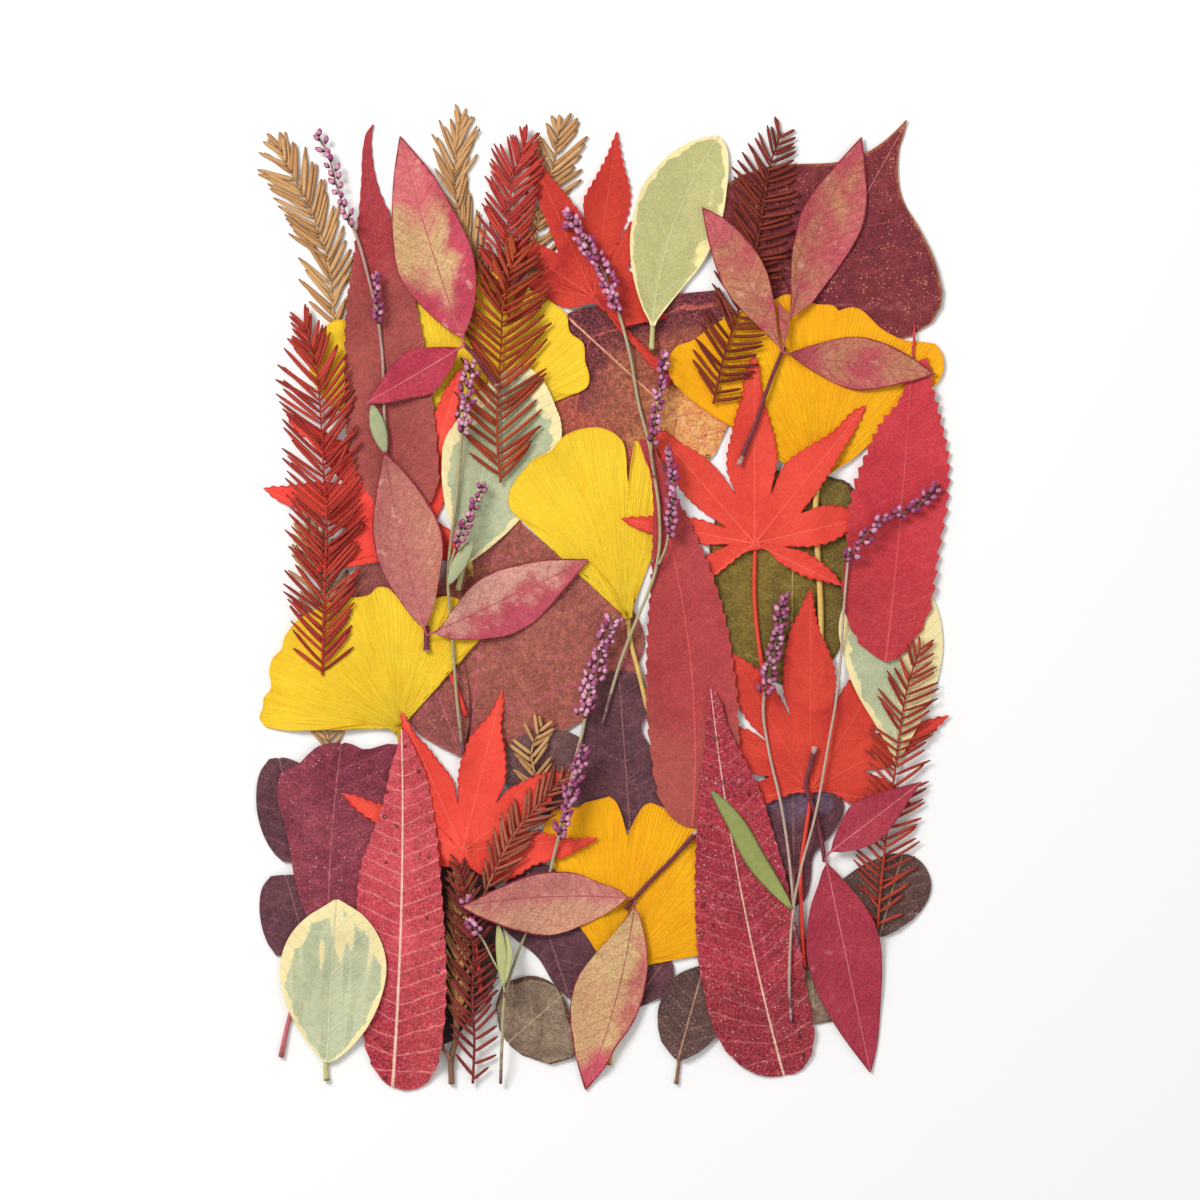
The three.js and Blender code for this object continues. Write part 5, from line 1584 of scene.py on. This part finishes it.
def under_leaves() -> list[Leaf | Sprig]:
    """Returns the dried leaves and sprigs under the coloured ones."""
    return [
        Leaf("crimson_heart_leaf", "heart_leaf_crimson", [
            (Blade((57, 84), (92.5, 148), slant=52, open_base=140, vein_pitch=9, ridge=0.15), HEART)]),
        Sprig("tan_sprig_top_left", "tan_needle",
              [(-82, 84), (-83, 93), (-84, 104), (-88, 117), (-91, 124), (-95, 131), (-99, 140)],
              Side(13.5, 40), Side(12, 38), TAN, 2.0, 1.35),
        Sprig("tan_sprig_upper", "tan_needle",
              [(-35, 97), (-40, 110), (-44.5, 121), (-45.5, 132), (-44, 147)],
              Side(12, 27), Side(12, 30), TAN, 1.7, 1.1),
        Sprig("tan_sprig_top", "tan_needle",
              [(-22, 98), (-21, 112), (-18.5, 124), (-16, 133), (-13.5, 146)],
              Side(10, 42), Side(12.5, 42), TAN, 2.4, 1.5),
        dark_leaf("left_upper", (-92, -79), (-99, -46.5), 120),
        dark_leaf("left_lower", (-90, -107.5), (-97, -82), 120),
        Sprig("tan_sprig_left", "tan_needle",
              [(-84, -46), (-84.5, -34), (-85, -18), (-85.5, -4), (-87, 10), (-91, 22)],
              Side(12, 42), Side(13.5, 42), TAN, 2.2, 1.3),
        Leaf("brown_leaf_center", "dried_brown", [
            (Blade((-41, -46), (-32, 25), 1, slant=60, open_base=110, vein_pitch=10), BROWN)]),
        Leaf("olive_leaf", "dried_olive", [
            (Blade((57, -24.8), (58, 41), open_base=125, vein_pitch=6, teeth=Teeth(2.6, 0.6)), OLIVE)]),
        Leaf("brown_lobed_leaf", "dried_brown", [
            (Blade((-11, 88), (35, 46), open_base=130, slant=55, vein_pitch=9, ridge=0.14), LOBED)]),
        dark_leaf("middle_left", (-20, -63), (-18, -38.4), 120, DUSTY),
        dark_leaf("middle_right", (8, -67.8), (4.5, -20), 120),
        Sprig("tan_sprig_middle", "tan_needle", [(-20, -62), (-21, -52), (-22, -44), (-19, -37)],
              Side(8.5), Side(8.5), TAN, 2.6, 1.3),
        dark_leaf("bottom", (-24, -79), (-10.5, -119.5), 110),
        Leaf("grey_leaf_bottom", "dried_olive", [
            (Blade((-29, -133), (-12, -118), open_base=120), GREY)]),
        dark_leaf("bottom_right", (19.5, -107), (8, -122.5), 110),
        Leaf("speckled_leaf", "dried_purple", [
            (Blade((22.6, -138), (30.5, -109.5), open_base=110, vein_pitch=4.5), SPECKLED)],
            Petiole([(23.2, -136), (22.6, -141), (22, -145.7)], BROWN_PETIOLE, 1.1)),
        Leaf("dark_leaf_right", "dried_purple", [
            (Blade((58, -91.5), (57.5, -43.3), open_base=90),
             leaflet(DARK, "dried_purple_fold", Blend((104, 80, 98), 23, 26),
                     Blend((92, 56, 64), 36, 40)))]),
        Leaf("grey_leaf_right", "dried_olive", [
            (Blade((64, -127.5), (63.5, -101.3), open_base=110), GREY)]),
        Leaf("brown_oval_leaf", "dried_purple", [
            (Blade((84, -100.8), (91, -75.7), open_base=120, vein_pitch=4.5), SPECKLED)]),
        dark_leaf("bottom_left", (-50, -133.8), (-43, -77.5), 110, DARK_BROWN),
        Sprig("tan_sprig_bottom", "tan_needle",
              [(-45, -128), (-45, -115), (-44.5, -103), (-44, -90), (-43, -79)],
              Side(8, 32), Side(8, 32), GOLD, 2.0, 1.2, 1.1, 0.3,
              [([(-46.5, -145.8), (-46.5, -138), (-45, -131), (-44.8, -124)], 1.8),
               ([(-46.3, -138.5), (-48, -136.3), (-49.5, -133.5)], 1.2)]),
        Leaf("purple_leaf_left", "sumac_crimson", [
            (Blade((-84, -98.5), (-80, -42), open_base=110, vein_pitch=6, bow=1), PURPLE)],
            Petiole([(-84.2, -96), (-89, -108), (-95.5, -124), (-98.5, -137.5)], PINK_PETIOLE, 1.3)),
        Leaf("brown_leaf_left", "dried_brown", [
            (Blade((-67, 12.5), (-43, -46), open_base=110, vein_pitch=7), BROWN_DULL)]),
    ]


def coloured_leaves() -> list[Leaf | Sprig | FlowerStem]:
    """Returns the large coloured leaves and what lies between them."""
    return [
        maple("top", MAPLE_CRIMSON, (-3, 94), -30,
              [(-3, 95), (1, 90.5), (5, 85), (12, 78), (17, 73), (19.5, 70), (19, 67)]),
        ginkgo("top", YELLOW, (-46, 50), -87, [(-45.3, 51), (-44, 40), (-42.5, 25), (-40.5, 9)], 1.5),
        ginkgo("right", AMBER, (65, 38), -92,
               [(65, 39), (64.5, 31), (65, 18), (66, 0), (66, -15), (66, -30.5)], 1.8),
        ginkgo("bottom", AMBER, (4, -111), -93, [(4.2, -109), (3.2, -125), (1.5, -140)], 1.4),
        maple("left", MAPLE_BRIGHT, (-60, 14.5), -70,
              [(-60, 15), (-54, -2), (-48, -18), (-45, -25), (-42, -33.5)]),
        sumac("top_left", SUMAC_BROWN, Teeth(4.4, 0.8), (-61, 26.2), (-70.2, 147), vein_pitch=5.2,
              via=[(-64, 50), (-66.5, 80), (-69.3, 110), (-71.8, 128), (-72.2, 138)]),
        ginkgo("left", YELLOW, (-62, -37), -75, [(-62.4, -36.5), (-62, -40), (-61.4, -43)], 1.7),
        maple("bottom_left", MAPLE, (-43, -74.5), -84,
              [(-43.6, -74), (-42.3, -90), (-39, -104), (-37.5, -118)]),
        Leaf("variegated_center", "pale_green", [
            (Blade((-43.3, 11.6), (-24.8, 73.4), 2, slant=48, open_base=80, vein_pitch=4.5,
                   teeth=Teeth(3.0, 0.3)), SAGE)],
            Petiole([(-42.6, 13), (-43.3, 10), (-44.5, 4.5)], GREEN_PETIOLE, 1.5)),
        ginkgo("center", YELLOW, (7.2, -4), -82, [(7.3, -3), (8, -10), (10.5, -20), (13.5, -32)], 1.4),
        maple("center", MAPLE_WARM, (46, 19), -90,
              [(46, 19), (46, 0), (47, -10), (48.5, -20)]),
        maple("right", MAPLE_DEEP, (63, -56), -90,
              [(63.2, -55), (62.8, -60), (61, -72), (60, -80), (60, -90), (61, -110)]),
        Leaf("variegated_right", "pale_green", [
            (Blade((89.6, -49.5), (86.2, 13.5), 0, slant=48, open_base=75, vein_pitch=4.5), SAGE_WIDE)]),
        sumac("right", SUMAC_BRIGHT, Teeth(4.5, 1.6), (85.8, -17), (94.5, 87), bow=-1.0),
        sumac("center", SUMAC_ROSE, Teeth(4.5, 1.0), (27, -67.3), (10.7, 50.6), bow=-6.5, vein_pitch=5.2),
        Sprig("rust_sprig_bottom", "rust_needle",
              [(-37, -89), (-31, -76), (-26, -67.5), (-19, -59.5), (-11, -51)],
              Side(9.5, 34), Side(10.5, 40), ASHEN, 2.3, 1.1),
        Sprig("red_sprig_bottom", "rust_needle",
              [(-40, -145.5), (-39.5, -132), (-40, -120), (-39.7, -105), (-41, -92), (-44, -79)],
              Side(10.5, 42), Side(9, 56), WINE, 2.1, 1.1, 0.9, 1.3),
        sumac("bottom_left", leaflet(SUMAC, "sumac_crimson_darker_base", Blend((164, 42, 60), 46, 10),
                                     Blend((176, 58, 68), 0, -7, across=True, strength=0.75)),
              Teeth(4.6, 0.7), (-64.5, -146.8), (-61.6, -37.5), bow=-1.3, slant=66),
        FlowerStem("flower_stem_bottom",
                   [Spike([(3, -3), (-1, -15), (-4, -25), (-6, -33)], 8.0, 0.4, 1.9),
                    Spike([(-6, -42), (-8, -50), (-11, -60), (-13.5, -69.5)], 5.5, 0.75, 1.5),
                    Spike([(-42, -94.5), (-40.5, -97), (-38, -98.5)], 3.6, 0.5, 1.3),
                    Spike([(-41.5, -87.5), (-42, -90)], 2.6, 0.6, 1.3)],
                   [([(-5, -29), (-6.5, -38), (-8.5, -46), (-11, -58), (-15, -75), (-17, -83), (-21, -92),
                      (-24, -100), (-27, -108), (-30, -118), (-31, -132), (-31.5, -145.5)], 1.25),
                    ([(-40, -97), (-36.5, -102), (-34, -107), (-31, -113), (-30, -119)], 0.8)],
                   [([(-30.5, -115.5), (-31, -106), (-32.2, -96.5)], 3.6),
                    ([(-29.8, -114), (-28.6, -105), (-30, -98.5)], 1.8)], GREEN_STEM, SMALL_LEAF),
        nandina("bottom", [
            (small_blade((9, -89), (-43.3, -91), -1.5, 2.6, 75, 48),
             leaflet(ROSE, "rose_and_buff", Blend((204, 130, 120), -10, 0, strength=0.6),
                     Blend((202, 154, 120), -2, 5, across=True, strength=0.8))),
            (small_blade((9.5, -89.5), (-5.7, -147.6), 2.0, 2.6, 75, 48),
             leaflet(BUFF, "buff_with_crimson_tip", Blend((194, 110, 98), 0, 7, across=True),
                     Blend((204, 84, 100), 40, 54)))],
                [(6.5, -92.5), (9.5, -89), (14, -84), (20, -78), (28.5, -68.5)], 1.3),
        sumac("bottom_right", SUMAC_DEEP, Teeth(4.5, 0.6), (54.8, -143), (32.5, -25), bow=2.4),
        Leaf("variegated_bottom_left", "pale_green", [
            (Blade((-84.5, -139.2), (-81.6, -89.5), 0, slant=46, open_base=70, vein_pitch=4.5),
             SAGE_STREAKED)],
            Petiole([(-84.4, -138), (-84.8, -140.5), (-84.5, -144.7)], GREEN_PETIOLE, 1.5)),
        Leaf("pale_leaf_top", "pale_green", [
            (Blade((14.7, 85), (35, 143.2), 4, slant=46, open_base=60, vein_pitch=4.5), PALE)],
            Petiole([(15, 87), (14.7, 83), (14.5, 77.7)], GREEN_PETIOLE, 1.5)),
    ]


def top_sprays() -> list[Leaf | Sprig | FlowerStem]:
    """Returns the sprigs, leaflets and flower stems on top of the pile."""
    return [
        Sprig("red_sprig_top", "rust_needle",
              [(-29, 88), (-30, 98), (-29.7, 110), (-29, 120), (-27.5, 131), (-24, 141)],
              Side(12, 40), Side(13, 42), SCARLET, 1.6, 1.1),
        Sprig("rust_sprig_center", "rust_needle",
              [(-31.5, 37.5), (-32.5, 50), (-32.5, 62), (-31.5, 78), (-30.5, 93), (-27, 107)],
              Side(15.5, 47), Side(17.5, 54), RUST, 2.5, 1.3),
        Sprig("rust_sprig_left", "rust_needle",
              [(-85.8, -21), (-85.5, -8), (-85, 10), (-84.5, 24), (-85.3, 38), (-86, 52), (-87, 66),
               (-88.5, 77), (-91, 85)],
              Side(15.5, 48), Side(15, 46), BRICK, 1.9, 1.15),
        Sprig("dark_sprig_right", "rust_needle",
              [(33.3, 61.5), (36, 74), (40, 87), (43, 98), (46.5, 110), (48.5, 122), (50.5, 134),
               (54, 144)],
              Side(13, 50), Side(11, 70), UMBER, 2.0, 1.1),
        Sprig("rust_sprig_right", "rust_needle",
              [(83.3, -98), (84.5, -84), (86, -70), (88, -55), (89.5, -43), (91, -32), (93.5, -21),
               (96.5, -13)],
              Side(10.5, 54), Side(11.5, 60), RUSSET, 2.5, 1.0),
        FlowerStem("flower_stem_left",
                   [Spike([(-39.5, 75), (-41, 68), (-42.3, 61), (-43, 53)], 6.0, 0.4, 1.3),
                    Spike([(-36.5, 38), (-39, 32), (-42.5, 24.5), (-45, 18)], 4.6, 0.5, 0.9)],
                   [([(-42.8, 56), (-44, 42), (-45, 32), (-46.5, 20), (-47.5, 8), (-46.7, -3), (-46, -13),
                      (-45, -26), (-43, -45)], 1.2),
                    ([(-44, 20.5), (-45.7, 16), (-47.2, 10)], 0.9)],
                   [([(-47.3, 6.5), (-43.8, 13), (-39.8, 20)], 4.6)], GREEN_STEM, GREY_LEAF),
        FlowerStem("flower_stem_top_left",
                   [Spike([(-88, 144.3), (-84.3, 138), (-81.7, 129), (-77.5, 116)], 5, 0.3, 0.7),
                    Spike([(-69.3, 102), (-69, 96.5), (-68.9, 92), (-69, 86.5)], 2.8, 0.8, 0.9)],
                   [([(-78, 119), (-75.5, 113), (-72, 101), (-69, 88), (-67.5, 76), (-67, 62),
                      (-66.5, 48)], 1.2)],
                   [([(-66.5, 46.5), (-68.6, 54), (-70.6, 61.5)], 5.0)], PURPLE_STEM, GREY_LEAF),
        nandina("top_left", [
            (small_blade((-42.3, 79.6), (-62.3, 143.3), 1.0, 2.6, 70),
             leaflet(ROSE, "rose_with_olive", Blend((202, 172, 116), 10, 22, strength=0.85),
                     Blend((204, 104, 106), 33, 46), Blend((184, 62, 82), -2, -9, across=True),
                     Blend((180, 60, 80), 20, 6))),
            (small_blade((-42.3, 79.3), (-72.5, 61.6), 0, 2.6, 70),
             CHERRY)],
                [(-42.7, 79.7), (-39.5, 76.3), (-36, 72), (-32.5, 67)], 1.3),
        nandina("top_right", [
            (small_blade((54.3, 77.3), (29.8, 121.5), -1, 0.95, 60),
             leaflet(SPRAY, "spray_with_pink_tip", Blend((188, 84, 96), 30, 44, strength=0.8))),
            (small_blade((54.3, 77.3), (78.7, 143), 3, 0.9, 60),
             leaflet(SPRAY, "spray_with_pink_edge",
                     Blend((192, 90, 100), -4, -10, across=True, strength=0.8),
                     Blend((186, 80, 92), 52, 66, strength=0.8))),
            (small_blade((54.3, 77), (101.2, 70.8), 0, 1.4, 60),
             leaflet(SPRAY, "spray_with_pink_side",
                     Blend((184, 78, 88), -3, -8, across=True, strength=0.8)))],
                [(55, 79), (52, 72), (49, 64), (46, 55), (43, 48), (41, 43)], 1.2),
        nandina("left", [
            (small_blade((-54, -8.6), (-67, 47), 1, 2.4),
             leaflet(ROSE, "rose_with_amber", Blend((176, 108, 100), -10, 0, strength=0.7),
                     Blend((190, 130, 98), -1, -9, across=True, strength=0.5))),
            (small_blade((-54, -9), (-4.6, 14.2), 0, 2.4),
             leaflet(ROSE, "rose_and_crimson", Blend((208, 156, 140), -2, 2, across=True, strength=0.9),
                     Blend((182, 76, 92), -1, -4, across=True)))],
                [(-54, -6), (-54, -10), (-54, -13.7)], 1.7),
        nandina("right", [
            (small_blade((67.5, -76), (96.8, -53.4), 0, 2.4, 70),
             CRIMSON),
            (small_blade((67.4, -76.5), (81.3, -142.3), 0, 2.4, 70),
             CRIMSON)],
                [(67.3, -78), (66, -70), (64, -62), (61.5, -54.7), (63, -48), (64.3, -42.8)], 1.4),
        FlowerStem("flower_stem_center",
                   [Spike([(-12, 120.5), (-5.5, 110.5), (-0.3, 102), (4.3, 90)], 6.8, 0.4, 1.9),
                    Spike([(18.7, 78), (17.7, 70), (16.5, 62), (14.5, 50)], 4.2, 0.6, 1.0),
                    Spike([(19, 48.5), (20.5, 40), (20.7, 31), (19.7, 22)], 4.0, 0.55, 1.1)],
                   [([(3, 94), (6, 84), (8, 76), (10.5, 62), (14, 48), (15.3, 40), (16.7, 30), (17, 20),
                      (16, 12), (13, 3), (10, -4), (5, -17), (2, -27), (-0.5, -36)], 1.2),
                    ([(15, 53), (14.3, 47), (15.3, 39)], 0.9),
                    ([(20, 25), (18.7, 17.5), (16.3, 12)], 0.9)],
                   [], GREEN_STEM, SMALL_LEAF),
        FlowerStem("flower_stem_right",
                   [Spike([(55, 3.5), (53.7, -5), (51.7, -14), (48.7, -26)], 5.8, 0.6, 1.3),
                    Spike([(102, 37.5), (95.5, 30.5), (85, 26.3), (73.5, 14)], 4.8, 0.6, 0.85)],
                   [([(49, -24), (48.5, -32), (50, -43), (54, -61), (56.5, -78), (57.5, -91),
                      (56.7, -103), (56.4, -115), (57, -127)], 1.1),
                    ([(74.5, 17), (73, 0), (72, -17), (71, -26), (68, -44), (64, -65), (59.5, -82),
                      (57.5, -94), (59, -104)], 1.0)],
                   [([(57, -92), (46, -77), (40, -66), (33, -56.5)], 6.5)], PURPLE_STEM, GREEN_LEAF),
    ]


# ------------------------------------------------------------------ floor, light and camera

class Stage:
    """The table, the lamps and the camera over the bunch."""

    CENTRE: Point = (-1.22, 1.83)
    VIEW_WIDTH = 0.366
    CAMERA_HEIGHT = 1.6
    SENSOR = 36.0
    PAPER: Colour = (246, 245, 243)
    TABLE_DEPTH = 0.0002

    def build(self) -> None:
        """Makes the floor, the lamps, the sky and the camera."""
        self._floor()
        self._lamp("window", (-0.75, 0.65, 1.0), 0.55, 16.0)
        self._lamp("bounce", (0.9, -0.5, 1.2), 1.2, 3.6)
        world = bpy.data.worlds.new("soft_sky")
        world.use_nodes = True
        sky = world.node_tree.nodes["Background"]
        sky.inputs["Color"].default_value = (1.0, 1.0, 1.0, 1.0)
        sky.inputs["Strength"].default_value = 0.5
        bpy.context.scene.world = world
        bpy.context.scene.view_settings.view_transform = "Standard"
        self._camera()

    def _floor(self) -> None:
        """Makes the pale table top just under the leaves."""
        mesh = bmesh.new()
        bmesh.ops.create_grid(mesh, x_segments=1, y_segments=1, size=3.0)
        bmesh.ops.translate(mesh, verts=mesh.verts, vec=Vector((0, 0, -self.TABLE_DEPTH)))
        data = bpy.data.meshes.new("table_top")
        mesh.to_mesh(data)
        mesh.free()
        material, _, shader = new_material("white_table", 0.9)
        shader.inputs["Base Color"].default_value = linear(self.PAPER)
        data.materials.append(material)
        floor = add_object("table_top", data)

    def _lamp(self, name: str, place: tuple[float, float, float], size: float, power: float) -> None:
        """Adds a square soft lamp that faces the bunch."""
        light = bpy.data.lights.new(name, "AREA")
        light.size = size
        light.energy = power
        lamp = add_object(name, light)
        lamp.location = place
        lamp.rotation_euler = (-Vector(place)).to_track_quat("-Z", "Y").to_euler()

    def _camera(self) -> None:
        """Hangs the camera straight over the bunch."""
        lens = bpy.data.cameras.new("camera")
        lens.sensor_width = self.SENSOR
        lens.lens = self.SENSOR * self.CAMERA_HEIGHT / self.VIEW_WIDTH
        camera = add_object("camera", lens)
        camera.location = (self.CENTRE[0] * MM, self.CENTRE[1] * MM, self.CAMERA_HEIGHT)
        bpy.context.scene.camera = camera


def main() -> None:
    """Lays the whole bunch, lowest leaf first, and sets the stage."""
    logging.basicConfig(level=logging.INFO, format="%(name)s: %(message)s")
    Stage().build()
    for piece in [*under_leaves(), *coloured_leaves(), *top_sprays()]:
        piece.build()


if __name__ == "__main__":
    main()
